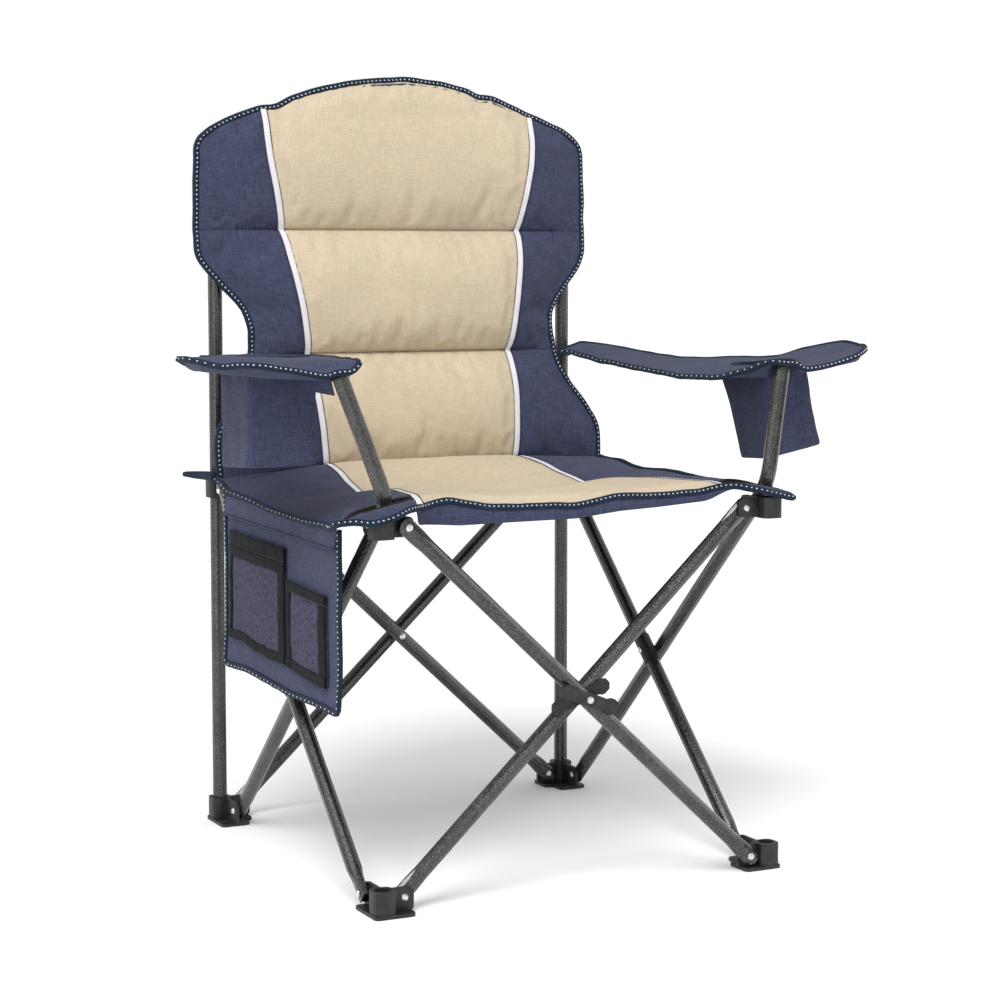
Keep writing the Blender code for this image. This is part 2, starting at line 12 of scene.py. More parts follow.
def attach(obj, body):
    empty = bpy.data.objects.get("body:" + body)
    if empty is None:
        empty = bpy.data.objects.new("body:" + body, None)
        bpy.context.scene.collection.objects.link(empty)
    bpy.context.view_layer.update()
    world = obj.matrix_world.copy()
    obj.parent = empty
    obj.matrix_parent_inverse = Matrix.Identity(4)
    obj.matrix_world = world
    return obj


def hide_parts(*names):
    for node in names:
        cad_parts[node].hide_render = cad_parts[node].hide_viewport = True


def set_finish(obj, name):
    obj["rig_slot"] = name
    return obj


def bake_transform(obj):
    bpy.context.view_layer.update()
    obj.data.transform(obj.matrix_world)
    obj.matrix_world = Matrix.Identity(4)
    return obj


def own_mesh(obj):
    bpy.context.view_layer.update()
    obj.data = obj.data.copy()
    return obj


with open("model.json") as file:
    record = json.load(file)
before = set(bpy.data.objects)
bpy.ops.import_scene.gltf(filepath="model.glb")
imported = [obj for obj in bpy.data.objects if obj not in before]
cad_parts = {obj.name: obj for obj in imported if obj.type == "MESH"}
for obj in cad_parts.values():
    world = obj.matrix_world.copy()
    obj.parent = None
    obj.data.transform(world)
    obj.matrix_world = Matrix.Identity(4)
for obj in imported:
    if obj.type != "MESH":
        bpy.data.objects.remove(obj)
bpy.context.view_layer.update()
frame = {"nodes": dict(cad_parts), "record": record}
random.seed(7)

MM = 0.001
UPWARD, FORWARD, LEFTWARD = (0, 0, 1.0), (0, -1.0, 0), (-1.0, 0, 0)
POST_X, POST_Y = 0.275, 0.288        # where the rear posts stand


# ---- Materials ----
def add_node(tree, kind, inputs=(), **settings):
    """A shader node. Each of its inputs gets a link from another node's socket, or a value."""
    made = tree.nodes.new("ShaderNode" + kind)
    for key, value in settings.items():
        setattr(made, key, value)
    for key, value in dict(inputs).items():
        if isinstance(value, bpy.types.NodeSocket):
            tree.links.new(value, made.inputs[key])
        else:
            made.inputs[key].default_value = value
    return made


class Shader:
    """A material being built: its Principled shader and short ways to add nodes before it."""

    def __init__(self, name, colour, roughness, metallic=0.0, **sockets):
        self.material = bpy.data.materials.new(name)
        self.material.use_nodes = True
        self.tree = self.material.node_tree
        self.main = self.tree.nodes["Principled BSDF"]
        self.main.inputs["Base Color"].default_value = (*colour, 1)
        self.main.inputs["Roughness"].default_value = roughness
        self.main.inputs["Metallic"].default_value = metallic
        for key, value in sockets.items():
            self.main.inputs[key.replace("_", " ")].default_value = value

    def node(self, kind, inputs=(), **settings):
        return add_node(self.tree, kind, inputs, **settings)

    def link(self, socket, key):
        self.tree.links.new(socket, self.main.inputs[key])

    def cloth_coordinates(self):
        return self.node("Attribute", attribute_name="cloth").outputs["Vector"]

    def object_coordinates(self):
        return self.node("TexCoord").outputs["Object"]

    def scaled(self, vector, scale, turn=(0, 0, 0)):
        return self.node("Mapping", {"Vector": vector, "Scale": scale, "Rotation": turn}).outputs["Vector"]

    def noise(self, vector, scale, detail, rough=0.5):
        inputs = {"Vector": vector, "Scale": scale, "Detail": detail, "Roughness": rough}
        return self.node("TexNoise", inputs).outputs["Fac"]

    def wave(self, vector, period, direction, distortion):
        inputs = {"Vector": vector, "Scale": math.pi / 10 / period, "Distortion": distortion, "Detail": 1.0,
                  "Detail Scale": 1.5}
        return self.node("TexWave", inputs, bands_direction=direction).outputs["Fac"]

    def math(self, operation, a, b):
        return self.node("Math", {0: a, 1: b}, operation=operation).outputs[0]

    def ramp(self, fac, low, high, colour_low, colour_high):
        made = self.node("ValToRGB", {"Fac": fac})
        made.color_ramp.elements[0].position = low
        made.color_ramp.elements[1].position = high
        made.color_ramp.elements[0].color = (*colour_low, 1)
        made.color_ramp.elements[1].color = (*colour_high, 1)
        return made.outputs["Color"]

    def grey(self, fac, low, high, dark=0.0, light=1.0):
        return self.ramp(fac, low, high, (dark,) * 3, (light,) * 3)

    def vary(self, fac, low, high, colour, contrast):
        """colour, darker where fac is low and lighter where it is high."""
        dark, light = scale_colour(colour, 1 - contrast), scale_colour(colour, 1 + contrast)
        return self.ramp(fac, low, high, dark, light)

    def shade(self, colour, fac, amount):
        """colour darkened by up to amount where fac is 0."""
        inputs = {"Value": fac, "To Min": 1 - amount, "To Max": 1.0}
        factor = self.node("MapRange", inputs).outputs["Result"]
        grey = self.node("CombineColor", {0: factor, 1: factor, 2: factor}).outputs["Color"]
        inputs = {"Factor": 1.0, "A": colour, "B": grey}
        return self.node("Mix", inputs, data_type="RGBA", blend_type="MULTIPLY").outputs["Result"]

    def bump(self, height, strength, distance):
        made = self.node("Bump", {"Height": height, "Strength": strength, "Distance": distance})
        self.link(made.outputs["Normal"], "Normal")


def scale_colour(colour, factor):
    return tuple(min(channel * factor, 1) for channel in colour)


def fabric(name, colour, pitch, slub, wrinkle, contrast, roughness, sheen):
    """Plain-woven polyester: two sets of threads, slubs along both, broad creases and some dust."""
    s = Shader(name, colour, roughness, Sheen_Weight=sheen, Sheen_Roughness=0.5, Specular_IOR_Level=0.1)
    at = s.cloth_coordinates()
    across = s.noise(s.scaled(at, (1 / (slub * 9), 1 / slub, 1)), 1.0, 3, 0.6)
    along = s.noise(s.scaled(at, (1 / slub, 1 / (slub * 9), 1)), 1.0, 3, 0.6)
    streaks = s.math("MULTIPLY", s.math("ADD", across, along), 0.5)
    tint = s.vary(streaks, 0.41, 0.59, colour, contrast)
    yarn = s.noise(s.scaled(at, (1 / (slub * 1.6), 1 / (slub * 0.45), 1)), 1.0, 2, 0.7)
    tint = s.shade(tint, s.grey(yarn, 0.36, 0.56), contrast * 0.55)
    weave = s.math("MULTIPLY", s.wave(at, pitch, "X", 0.6), s.wave(at, pitch, "Y", 0.6))
    tint = s.shade(tint, weave, 0.16)
    broad = s.noise(s.scaled(at, (9, 9, 1)), 1.0, 3, 0.55)
    s.link(s.shade(tint, s.grey(broad, 0.3, 0.6), 0.07), "Base Color")
    crease = s.noise(s.scaled(at, (26, 34, 1)), 1.0, 4, 0.6)
    height = s.math("ADD", s.math("MULTIPLY", weave, 0.25), s.math("MULTIPLY", streaks, 0.35))
    height = s.math("ADD", height, s.math("MULTIPLY", crease, wrinkle * 3))
    s.bump(height, 0.55, 0.0011)
    return s.material


def tape(name, colour, rib, contrast, roughness=0.75):
    """Ribbed woven tape. The ribs run across it."""
    s = Shader(name, colour, roughness, Sheen_Weight=0.03, Specular_IOR_Level=0.15)
    at = s.cloth_coordinates()
    ribs = s.wave(at, rib, "X", 0.8)
    wear = s.noise(s.scaled(at, (60, 200, 1)), 1.0, 3, 0.6)
    s.link(s.shade(s.vary(wear, 0.3, 0.7, colour, contrast), ribs, 0.3), "Base Color")
    s.bump(s.math("ADD", ribs, s.math("MULTIPLY", wear, 0.8)), 0.6, 0.0006)
    return s.material


def hammertone():
    """Dark grey hammertone paint: shallow round dimples with a brighter metallic flake between them."""
    base = (0.065, 0.064, 0.060)
    s = Shader("hammertone_paint", base, 0.30, 0.80, Coat_Weight=0.45, Coat_Roughness=0.14)
    at = s.object_coordinates()
    cells = s.node("TexVoronoi", {"Vector": at, "Scale": 620.0}, feature="SMOOTH_F1").outputs["Distance"]
    flake = s.noise(at, 1500.0, 2, 0.6)
    mottle = s.noise(at, 560.0, 3, 0.7)
    mixed = s.math("ADD", s.math("MULTIPLY", flake, 0.45), s.math("MULTIPLY", mottle, 0.55))
    tint = s.ramp(mixed, 0.44, 0.60, (0.026, 0.026, 0.025), (0.135, 0.133, 0.126))
    worn = s.noise(at, 18.0, 4, 0.65)
    s.link(s.shade(tint, s.grey(worn, 0.35, 0.6), 0.3), "Base Color")
    s.link(s.grey(mottle, 0.35, 0.7, 0.18, 0.38), "Roughness")
    s.bump(s.math("ADD", s.math("MULTIPLY", cells, 1.2), s.math("MULTIPLY", flake, 0.35)), 0.45, 0.0005)
    return s.material


def moulded_plastic():
    s = Shader("moulded_black_plastic", (0.013, 0.013, 0.013), 0.45, Specular_IOR_Level=0.45)
    at = s.object_coordinates()
    grain = s.noise(at, 1500.0, 3, 0.6)
    scuff = s.noise(at, 55.0, 5, 0.7)
    s.link(s.ramp(scuff, 0.45, 0.8, (0.010, 0.010, 0.010), (0.040, 0.039, 0.038)), "Base Color")
    s.link(s.grey(scuff, 0.3, 0.8, 0.38, 0.62), "Roughness")
    s.bump(s.math("ADD", grain, s.math("MULTIPLY", scuff, 0.8)), 0.35, 0.0004)
    return s.material


def zinc():
    colour = (0.80, 0.80, 0.78)
    s = Shader("zinc_plated_rivet", colour, 0.28, 1.0)
    at = s.object_coordinates()
    swirl = s.noise(at, 700.0, 3, 0.6)
    s.link(s.grey(swirl, 0.35, 0.7, 0.20, 0.42), "Roughness")
    s.link(s.ramp(s.noise(at, 240.0, 3, 0.6), 0.3, 0.7, scale_colour(colour, 0.72), colour), "Base Color")
    s.bump(swirl, 0.25, 0.0002)
    return s.material


def net(name, colour):
    """Fine net: diagonal threads with dark holes between them."""
    s = Shader(name, colour, 0.85, Sheen_Weight=0.05, Specular_IOR_Level=0.12)
    at = s.cloth_coordinates()
    turned = s.scaled(at, (1, 1, 1), (0, 0, math.radians(45)))
    one, two = [s.wave(turned, NET_PITCH, direction, 1.2) for direction in "XY"]
    threads = s.math("MAXIMUM", one, two)
    mask = s.grey(threads, 0.45, 0.85)
    drift = s.noise(s.scaled(at, (150, 150, 1)), 1.0, 4, 0.75)
    tint = s.ramp(drift, 0.38, 0.62, scale_colour(colour, 0.6), scale_colour(colour, 1.8))
    s.link(s.shade(tint, mask, 0.8), "Base Color")
    s.bump(s.math("ADD", threads, s.math("MULTIPLY", drift, 2.0)), 0.7, 0.0009)
    return s.material


def floor_material():
    s = Shader("studio_floor", (0.95, 0.95, 0.95), 0.9, Specular_IOR_Level=0.05)
    s.link(s.grey(s.noise(s.object_coordinates(), 3.0, 2), 0.2, 0.8, 0.945, 0.955), "Base Color")
    return s.material


TAN_COLOUR = (0.61, 0.510, 0.370)
NAVY_COLOUR = (0.054, 0.062, 0.114)
NET_PITCH = 0.0030

TAN = fabric("tan_weave", TAN_COLOUR, 0.0021, 0.0022, 0.8, 0.07, 0.9, 0.06)
NAVY = fabric("navy_weave", NAVY_COLOUR, 0.0021, 0.0022, 1.0, 0.22, 0.85, 0.06)
# a darker copy of the navy weave, at 0.55 of its brightness, for the pads' undersides, rears and rims:
# painted shade
SHADED_NAVY = fabric("navy_shaded_copy", scale_colour(NAVY_COLOUR, 0.55), 0.0020, 0.002, 0.5, 0.2, 0.9, 0.1)
BINDING = tape("edge_binding", (0.010, 0.022, 0.044), 0.0016, 0.3)
WHITE = tape("white_piping_tape", (0.86, 0.86, 0.90), 0.0011, 0.04)
BLACK_TAPE = tape("black_tape", (0.0055, 0.0065, 0.0075), 0.0016, 0.4, 0.95)
THREAD_WHITE = tape("white_thread", (0.78, 0.80, 0.82), 0.0006, 0.08, 0.6)
THREAD_DARK = tape("dark_thread", (0.030, 0.026, 0.030), 0.0006, 0.2, 0.7)
THREAD_TAN = tape("tan_thread", (0.26, 0.18, 0.10), 0.0006, 0.2, 0.7)
THREAD_GREY = tape("grey_thread", (0.12, 0.12, 0.14), 0.0006, 0.2, 0.7)
SLOT_TAPE = tape("slot_tape", (0.020, 0.016, 0.014), 0.0018, 0.35, 0.9)
NET = net("pocket_net", (0.052, 0.048, 0.092))
PAINT = hammertone()
PLASTIC = moulded_plastic()
RIVET = zinc()


# ---- Mesh tools ----
SHARP_EDGE = math.radians(62)


def mesh_object(name, verts, faces, material, cloth):
    """A smooth mesh. cloth is each vertex's place on its flat cloth, for the weave."""
    mesh = bpy.data.meshes.new(name)
    mesh.from_pydata([tuple(v) for v in verts], [], [tuple(int(i) for i in f) for f in faces])
    mesh.materials.append(material)
    attribute = mesh.attributes.new("cloth", "FLOAT_VECTOR", "POINT")
    flat = np.zeros((len(verts), 3))
    flat[:, :2] = cloth
    attribute.data.foreach_set("vector", flat.ravel())
    obj = bpy.data.objects.new(name, mesh)
    bpy.context.scene.collection.objects.link(obj)
    mesh.update()
    mesh.shade_smooth()
    return obj


def unit(vectors):
    return vectors / (np.linalg.norm(vectors, axis=-1, keepdims=True) + 1e-12)


def grid_normals(grid, flip):
    along, across = np.gradient(grid, axis=0), np.gradient(grid, axis=1)
    normals = unit(np.cross(across, along))
    return -normals if flip else normals


def surface(rows, columns, point):
    """A grid of point(u, v), where u runs across its columns and v along its rows, from 0 to 1."""
    across, along = [k / (columns - 1) for k in range(columns)], [k / (rows - 1) for k in range(rows)]
    return np.array([[point(u, v) for u in across] for v in along])


def closed_mesh(name, cells, face, rear, cloth, material, lining=None, flip=False):
    """A closed pad or sheet from its face's cells. Its rear has the same cells, and a rim joins the two."""
    cells = [cell[::-1] if flip else cell for cell in cells]
    count = len(face)
    edges = {(cell[k - 1], cell[k]) for cell in cells for k in range(len(cell))}
    rim = [(b, a, a + count, b + count) for a, b in sorted(edges) if (b, a) not in edges]
    faces = cells + [tuple(i + count for i in cell[::-1]) for cell in cells] + rim
    used = sorted({i for cell in faces for i in cell})
    place = {old: new for new, old in enumerate(used)}
    faces = [[place[i] for i in cell] for cell in faces]
    verts = np.concatenate([face, rear])[used]
    obj = mesh_object(name, verts, faces, material, np.concatenate([cloth, cloth])[used])
    obj.data.set_sharp_from_angle(angle=SHARP_EDGE)
    # the rear faces and rim take the second material; where that is the darker navy copy, its dark is
    # painted shade
    if lining:
        obj.data.materials.append(lining)
        index = np.zeros(len(faces), dtype=np.int32)
        index[len(cells):] = 1
        obj.data.polygons.foreach_set("material_index", index)
    return obj


def closed_pair(name, face, rear, material, lining=None, flip=False, keep=None):
    """A closed pad or sheet from a face grid and a rear grid. keep marks the grid cells that are there."""
    rows, columns = face.shape[:2]
    cells = []
    for i in range(rows - 1):
        for j in range(columns - 1):
            a = i * columns + j
            if keep is None or keep[i, j]:
                cells.append((a, a + 1, a + columns + 1, a + columns))
    cloth = grid_cloth(face).reshape(-1, 2)
    return closed_mesh(name, cells, face.reshape(-1, 3), rear.reshape(-1, 3), cloth, material, lining, flip)


def shell(name, grid, thick, material, flip=False):
    """A closed sheet of cloth whose face side is the grid."""
    return closed_pair(name, grid, grid - grid_normals(grid, flip) * thick, material, flip=flip)


def cut_area(grid, wide, tall):
    """Area of a piece of cloth with a grid's surface, cut from a flat rectangle."""
    one = np.cross(grid[1:, :-1] - grid[:-1, :-1], grid[:-1, 1:] - grid[:-1, :-1])
    two = np.cross(grid[1:, :-1] - grid[1:, 1:], grid[:-1, 1:] - grid[1:, 1:])
    whole = float((np.linalg.norm(one, axis=2) + np.linalg.norm(two, axis=2)).sum() / 2)
    return min(whole, wide * tall)


def grid_cloth(grid):
    """Distances along a grid's rows and columns, for the weave."""
    step_u = np.linalg.norm(np.diff(grid, axis=0), axis=2).mean(axis=1)
    step_v = np.linalg.norm(np.diff(grid, axis=1), axis=2).mean(axis=0)
    u = np.concatenate([[0], np.cumsum(step_u)])
    v = np.concatenate([[0], np.cumsum(step_v)])
    return np.stack(np.meshgrid(v, u), axis=-1)


def resample(path, step, closed=False, extras=()):
    """Even steps along a path. extras are further arrays with one row for each of its points."""
    arrays = [np.asarray(a, float) for a in (path, *extras)]
    if closed:
        arrays = [np.concatenate([a, a[:1]]) for a in arrays]
    lengths = np.concatenate([[0], np.cumsum(np.linalg.norm(np.diff(arrays[0], axis=0), axis=1))])
    count = max(int(round(lengths[-1] / step)), 2)
    at = np.linspace(0, lengths[-1], count + 1)[:count if closed else count + 1]
    out = [np.stack([np.interp(at, lengths, column) for column in a.T], axis=1) for a in arrays]
    return out if extras else out[0]


def smoothed(path, times, closed=False):
    path = np.array(path, float)
    for _ in range(times):
        if closed:
            path = (np.roll(path, 1, axis=0) + 2 * path + np.roll(path, -1, axis=0)) / 4
        else:
            path[1:-1] = (path[:-2] + 2 * path[1:-1] + path[2:]) / 4
    return path


def path_frames(path, normals, closed=False):
    """Tangents, sides and normals along a path. normals may be one direction for all its points."""
    if closed:
        tangents = unit(np.roll(path, -1, axis=0) - np.roll(path, 1, axis=0))
    else:
        tangents = unit(np.gradient(path, axis=0))
    sides = unit(np.cross(tangents, normals))
    return tangents, sides, unit(np.cross(sides, tangents))


def sweep(name, path, normals, section, material, closed=False, scale=None):
    """A section, given as (side, normal) points, carried along a path."""
    path, section = np.asarray(path, float), np.asarray(section, float)
    _, sides, ups = path_frames(path, normals, closed)
    scale = np.ones(len(path)) if scale is None else scale
    sized = section[None] * scale[:, None, None]
    rings = path[:, None] + sides[:, None] * sized[..., :1] + ups[:, None] * sized[..., 1:]
    count, size = len(path), len(section)
    faces = []
    for i in range(count if closed else count - 1):
        ring, ahead = i * size, (i + 1) % count * size
        for k in range(size):
            after = (k + 1) % size
            faces.append((ring + k, ring + after, ahead + after, ahead + k))
    if not closed:
        faces.append(tuple(range(size))[::-1])
        faces.append(tuple((count - 1) * size + k for k in range(size)))
    along = np.concatenate([[0], np.cumsum(np.linalg.norm(np.diff(path, axis=0), axis=1))])
    around = np.concatenate([[0], np.cumsum(np.linalg.norm(np.diff(section, axis=0), axis=1))])
    cloth = np.stack([np.repeat(along, size), np.tile(around, count)], axis=1)
    return mesh_object(name, rings.reshape(-1, 3), faces, material, cloth)


def oval(half_width, half_height, power, sides=12, shift=0.0):
    """A rounded flat section. power below 1 makes it squarer, and shift moves it sideways."""
    points = []
    for k in range(sides):
        turn = -2 * math.pi * k / sides
        c, s = math.cos(turn), math.sin(turn)
        points.append((math.copysign(abs(c) ** power, c) * half_width + shift,
                       math.copysign(abs(s) ** power, s) * half_height))
    return points


def joined(name, parts, material):
    """One object from several (vertices, faces, cloth) triples."""
    verts, faces, cloth, start = [], [], [], 0
    for part_verts, part_faces, part_cloth in parts:
        verts.append(part_verts)
        faces += [tuple(i + start for i in face) for face in part_faces]
        cloth.append(part_cloth)
        start += len(part_verts)
    return mesh_object(name, np.concatenate(verts), faces, material, np.concatenate(cloth))


def bead():
    """Vertices and faces of an elongated bead along X, with unit half-length, width and height."""
    sides = 6
    verts, faces = [(-1.0, 0.0, 0.0)], []
    for x, r in ((-0.75, 0.7), (0.0, 1.0), (0.75, 0.7)):
        turns = [2 * math.pi * k / sides for k in range(sides)]
        verts += [(x, r * math.cos(turn), r * math.sin(turn)) for turn in turns]
    verts.append((1.0, 0.0, 0.0))
    for k in range(sides):
        after = (k + 1) % sides
        faces.append((0, 1 + after, 1 + k))
        for low in (1, 1 + sides):
            faces.append((low + k, low + after, low + sides + after, low + sides + k))
        faces.append((1 + 2 * sides + k, 1 + 2 * sides + after, len(verts) - 1))
    return np.array(verts), faces


BEAD_VERTS, BEAD_FACES = bead()
STITCH_JITTER = 0.12         # how much the stitches' length varies


def stitches(points, normals, length, radius, closed=False, slant=0.0):
    """Beads of thread lying on a line. slant turns them in the surface, in degrees."""
    tangents, sides, ups = path_frames(points, normals, closed)
    turn = math.radians(slant)
    headings = tangents * math.cos(turn) + sides * math.sin(turn)
    others = np.cross(ups, headings)
    verts, faces, cloth = [], [], []
    for k, (point, heading, other, up) in enumerate(zip(points, headings, others, ups)):
        size = 1 + random.uniform(-STITCH_JITTER, STITCH_JITTER)
        local = BEAD_VERTS * np.array([length / 2 * size, radius, radius * 0.8])
        verts.append(point + local[:, :1] * heading + local[:, 1:2] * other + local[:, 2:] * up)
        faces += [tuple(i + k * len(BEAD_VERTS) for i in face) for face in BEAD_FACES]
        cloth.append(local[:, :2] + k * 0.01)
    return np.concatenate(verts), faces, np.concatenate(cloth)


def stitch_row(name, line, normal, sizes, thread, slot):
    """One row of stitches along a line. sizes are its step, length and radius, in mm."""
    step, length, radius = [size * MM for size in sizes]
    piece = joined(name, [stitches(resample(line, step), normal, length, radius)], thread)
    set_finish(piece, slot)
    return piece


PIPING_HALF_WIDTH, PIPING_HALF_THICK = 4.6 * MM, 1.3 * MM
FRONT_TO_REAR = 0.8          # an edge whose direction is more than this along Y runs from front to rear


def piping(name, edge, outward):
    """White tape over the joint of two panels, with a row of dark stitches along both its sides."""
    line = edge + np.multiply(outward, 0.0012)
    normal = unit(np.cross(np.gradient(line, axis=0), LEFTWARD))
    normal = np.where(normal @ np.array(outward)[:, None] < 0, -normal, normal)
    line, normal = resample(smoothed(line, 1), 4 * MM, extras=(normal,))
    ribbon = sweep(name, line, normal, oval(PIPING_HALF_WIDTH, PIPING_HALF_THICK, 0.55, 10), WHITE)
    line, normal = resample(line, 3.6 * MM, extras=(normal,))
    _, sides, _ = path_frames(line, normal)
    rows = []
    for shift in (-5.0 * MM, 5.0 * MM):
        rows.append(stitches(line + sides * shift + normal * 1.1 * MM, normal, 2.6 * MM, 0.85 * MM))
    pieces = [ribbon, joined(name + "_stitches", rows, THREAD_DARK)]
    for piece in pieces:
        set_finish(piece, "tan_fabric")
    return pieces


def bound_edge(name, path, normals, inward, sizes, dot, slant=0.0, closed=False):
    """Edge binding folded over an edge, with its row of white stitches. inward is the side the cloth is on.
    sizes are its width, thickness, stitch step and wobble, and dot a stitch's length and radius, in mm."""
    width, thick, spacing, wobble = [size * MM for size in sizes]
    path, normals = resample(path, 5 * MM, closed, (np.broadcast_to(normals, np.shape(path)),))
    wave = np.array([[noise.noise(Vector(p) * 45 + Vector((k * 7, 0, 0))) for k in range(3)] for p in path])
    path = path + (normals * wave[:, :1] + wave) * wobble
    section = oval(width / 2, thick / 2, 0.6, 12, inward * width * 0.30)
    binding = sweep(name, path, normals, section, BINDING, closed)
    beads, normals = resample(path, spacing, closed, (normals,))
    # half as many stitches where the edge runs from front to rear
    ahead = np.abs(unit(np.gradient(beads, axis=0))[:, 1])
    kept = (ahead < FRONT_TO_REAR) | (np.arange(len(beads)) % 2 == 0)
    beads, normals = beads[kept], normals[kept]
    _, sides, ups = path_frames(beads, normals, closed)
    spots = beads + sides * inward * width * 0.32 + ups * (thick / 2 + 0.1 * MM)
    row = stitches(spots, normals, dot[0] * MM, dot[1] * MM, closed, slant)
    thread = joined(name + "_stitches", [row], THREAD_WHITE)
    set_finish(binding, "navy_fabric")
    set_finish(thread, "navy_fabric")
    return [binding, thread]


def hole_rim(name, grid, side, middle, half, points, lower, section, material):
    """The bound rim of a round or oval hole in a cloth grid."""
    flat = grid.reshape(-1, 3)
    path = []
    for turn in np.linspace(0, 2 * math.pi, points, endpoint=False):
        x, y = side * (middle[0] + half[0] * math.cos(turn)), middle[1] + half[1] * math.sin(turn)
        near = np.argsort((flat[:, 0] - x) ** 2 + (flat[:, 1] - y) ** 2)[:4]
        path.append((x, y, flat[near, 2].mean() - lower))
    return sweep(name, smoothed(path, 3, True), UPWARD, section, material, True)


def ripple(point):
    """Smooth noise, from -1 to 1."""
    return noise.noise(Vector(point))


def smoothstep(t):
    t = np.clip(t, 0, 1)
    return t * t * (3 - 2 * t)


def table(values, rows):
    """Values looked up in a list of (key, result) pairs, in a straight line between them."""
    keys, results = zip(*rows)
    return np.interp(values, keys, results)


def puff(obj, pinned, pressure, frames, cap, stretch):
    """Inflates a closed pad by cloth simulation. pinned is each vertex's hold, from 0 to 1."""
    rest = np.array([v.co for v in obj.data.vertices])
    group = obj.vertex_groups.new(name="sewn")
    for index, weight in enumerate(pinned):
        if weight > 0:
            group.add([index], float(weight), "REPLACE")
    modifier = obj.modifiers.new("inflate", "CLOTH")
    settings = modifier.settings
    settings.quality = 6
    settings.mass = 0.25
    settings.tension_stiffness = 12
    settings.compression_stiffness = 4
    settings.shear_stiffness = 4
    settings.bending_stiffness = 0.4
    settings.use_pressure = True
    settings.uniform_pressure_force = pressure
    settings.vertex_group_mass = "sewn"
    settings.pin_stiffness = 1.0
    settings.shrink_min = -stretch
    settings.effector_weights.gravity = 0
    modifier.collision_settings.use_collision = False
    modifier.point_cache.frame_start = 1
    modifier.point_cache.frame_end = frames
    scene = bpy.context.scene
    for number in range(1, frames + 1):
        scene.frame_set(number)
    evaluated = obj.evaluated_get(bpy.context.evaluated_depsgraph_get())
    moved = np.array([v.co for v in evaluated.data.vertices]) - rest
    size = np.linalg.norm(moved, axis=1, keepdims=True)
    moved *= np.minimum(1, cap / np.maximum(size, 1e-9))
    obj.modifiers.remove(modifier)
    obj.vertex_groups.remove(group)
    obj.data.vertices.foreach_set("co", (rest + moved).ravel())
    obj.data.update()
    scene.frame_set(1)


# ---- Camera, floor and light ----
CAMERA_PLACE = (-1.4338, -2.9325, 0.7995)
CAMERA_DOWN, CAMERA_TURN = 4.788, 26.496        # degrees below the horizon, and to the right of +Y
FLOOR_HALF = 40
WORLD_LIGHT = 0.66
SOFTBOX_SPREAD = 0.55       # how much brighter the softboxes are, and the dark cards darker
SOFTBOX_TURN = 0.6


def add_object(name, data, place=(0, 0, 0), aim=None):
    """An object at a place, with its -Z axis along aim if one is given."""
    obj = bpy.data.objects.new(name, data)
    bpy.context.scene.collection.objects.link(obj)
    obj.location = place
    if aim:
        obj.rotation_euler = Vector(aim).to_track_quat("-Z", "Y").to_euler()
    return obj


def make_camera():
    data = bpy.data.cameras.new("camera")
    data.sensor_width = 36
    data.lens = 87.04
    data.shift_y = -0.04
    camera = add_object("camera", data, CAMERA_PLACE)
    camera.rotation_euler = (math.radians(90 - CAMERA_DOWN), 0, math.radians(-CAMERA_TURN))
    bpy.context.scene.camera = camera


def area_light(name, place, aim, size, power):
    data = bpy.data.lights.new(name, "AREA")
    data.shape = "RECTANGLE"
    data.size, data.size_y = size
    data.energy = power
    add_object(name, data, place, Vector(aim) - Vector(place))


def make_studio():
    mesh = bpy.data.meshes.new("floor")
    corners = [(x * FLOOR_HALF, y * FLOOR_HALF, 0) for x, y in ((-1, -1), (1, -1), (1, 1), (-1, 1))]
    mesh.from_pydata(corners, [], [(0, 1, 2, 3)])
    mesh.materials.append(floor_material())
    floor = add_object("floor", mesh)
    world = bpy.data.worlds.new("studio")
    bpy.context.scene.world = world
    world.use_nodes = True
    tree = world.node_tree
    background = tree.nodes["Background"]
    background.inputs["Color"].default_value = (1, 1, 1, 1)

    def step(operation, *values):
        return add_node(tree, "Math", enumerate(values), operation=operation).outputs[0]

    # softboxes and dark cards alternate round the horizon, so that the tubes get bright and dark stripes
    split = add_node(tree, "SeparateXYZ", {0: add_node(tree, "TexCoord").outputs["Generated"]})
    turn = step("ARCTAN2", split.outputs["Y"], split.outputs["X"])
    stripes = step("MULTIPLY_ADD", step("SINE", step("MULTIPLY_ADD", turn, 3.0, SOFTBOX_TURN)), 0.5, 0.5)
    side_light = step("MULTIPLY_ADD", stripes, 2 * SOFTBOX_SPREAD, WORLD_LIGHT - SOFTBOX_SPREAD)
    height = step("MINIMUM", step("MULTIPLY", step("ABSOLUTE", split.outputs["Z"]), 1.6), 1.0)
    total = step("ADD", step("MULTIPLY", side_light, step("SUBTRACT", 1.0, height)),
                 step("MULTIPLY", height, WORLD_LIGHT * 1.1))
    seen = add_node(tree, "LightPath").outputs["Is Camera Ray"]
    strength = add_node(tree, "MapRange", {"Value": seen, "To Min": total, "To Max": 1.0})
    tree.links.new(strength.outputs["Result"], background.inputs["Strength"])
    bpy.context.scene.view_settings.view_transform = "Standard"
    sun = bpy.data.lights.new("key_sun", "SUN")
    sun.energy = 1.95
    sun.angle = math.radians(30)
    add_object("key_sun", sun, aim=(0.42, 0.62, -1.0))
    area_light("left_softbox", (-2.6, -1.6, 1.9), (0, 0, 0.5), (1.4, 2.2), 32)
    area_light("right_softbox", (2.4, -0.9, 1.5), (0, 0, 0.5), (0.8, 2.0), 10)


# ---- Back pad ----
CREASE, SEAM_LOW, SEAM_HIGH = 0.507, 0.665, 0.839
PIPING_TOP, CORNER_TOP = 1.0045, 0.963

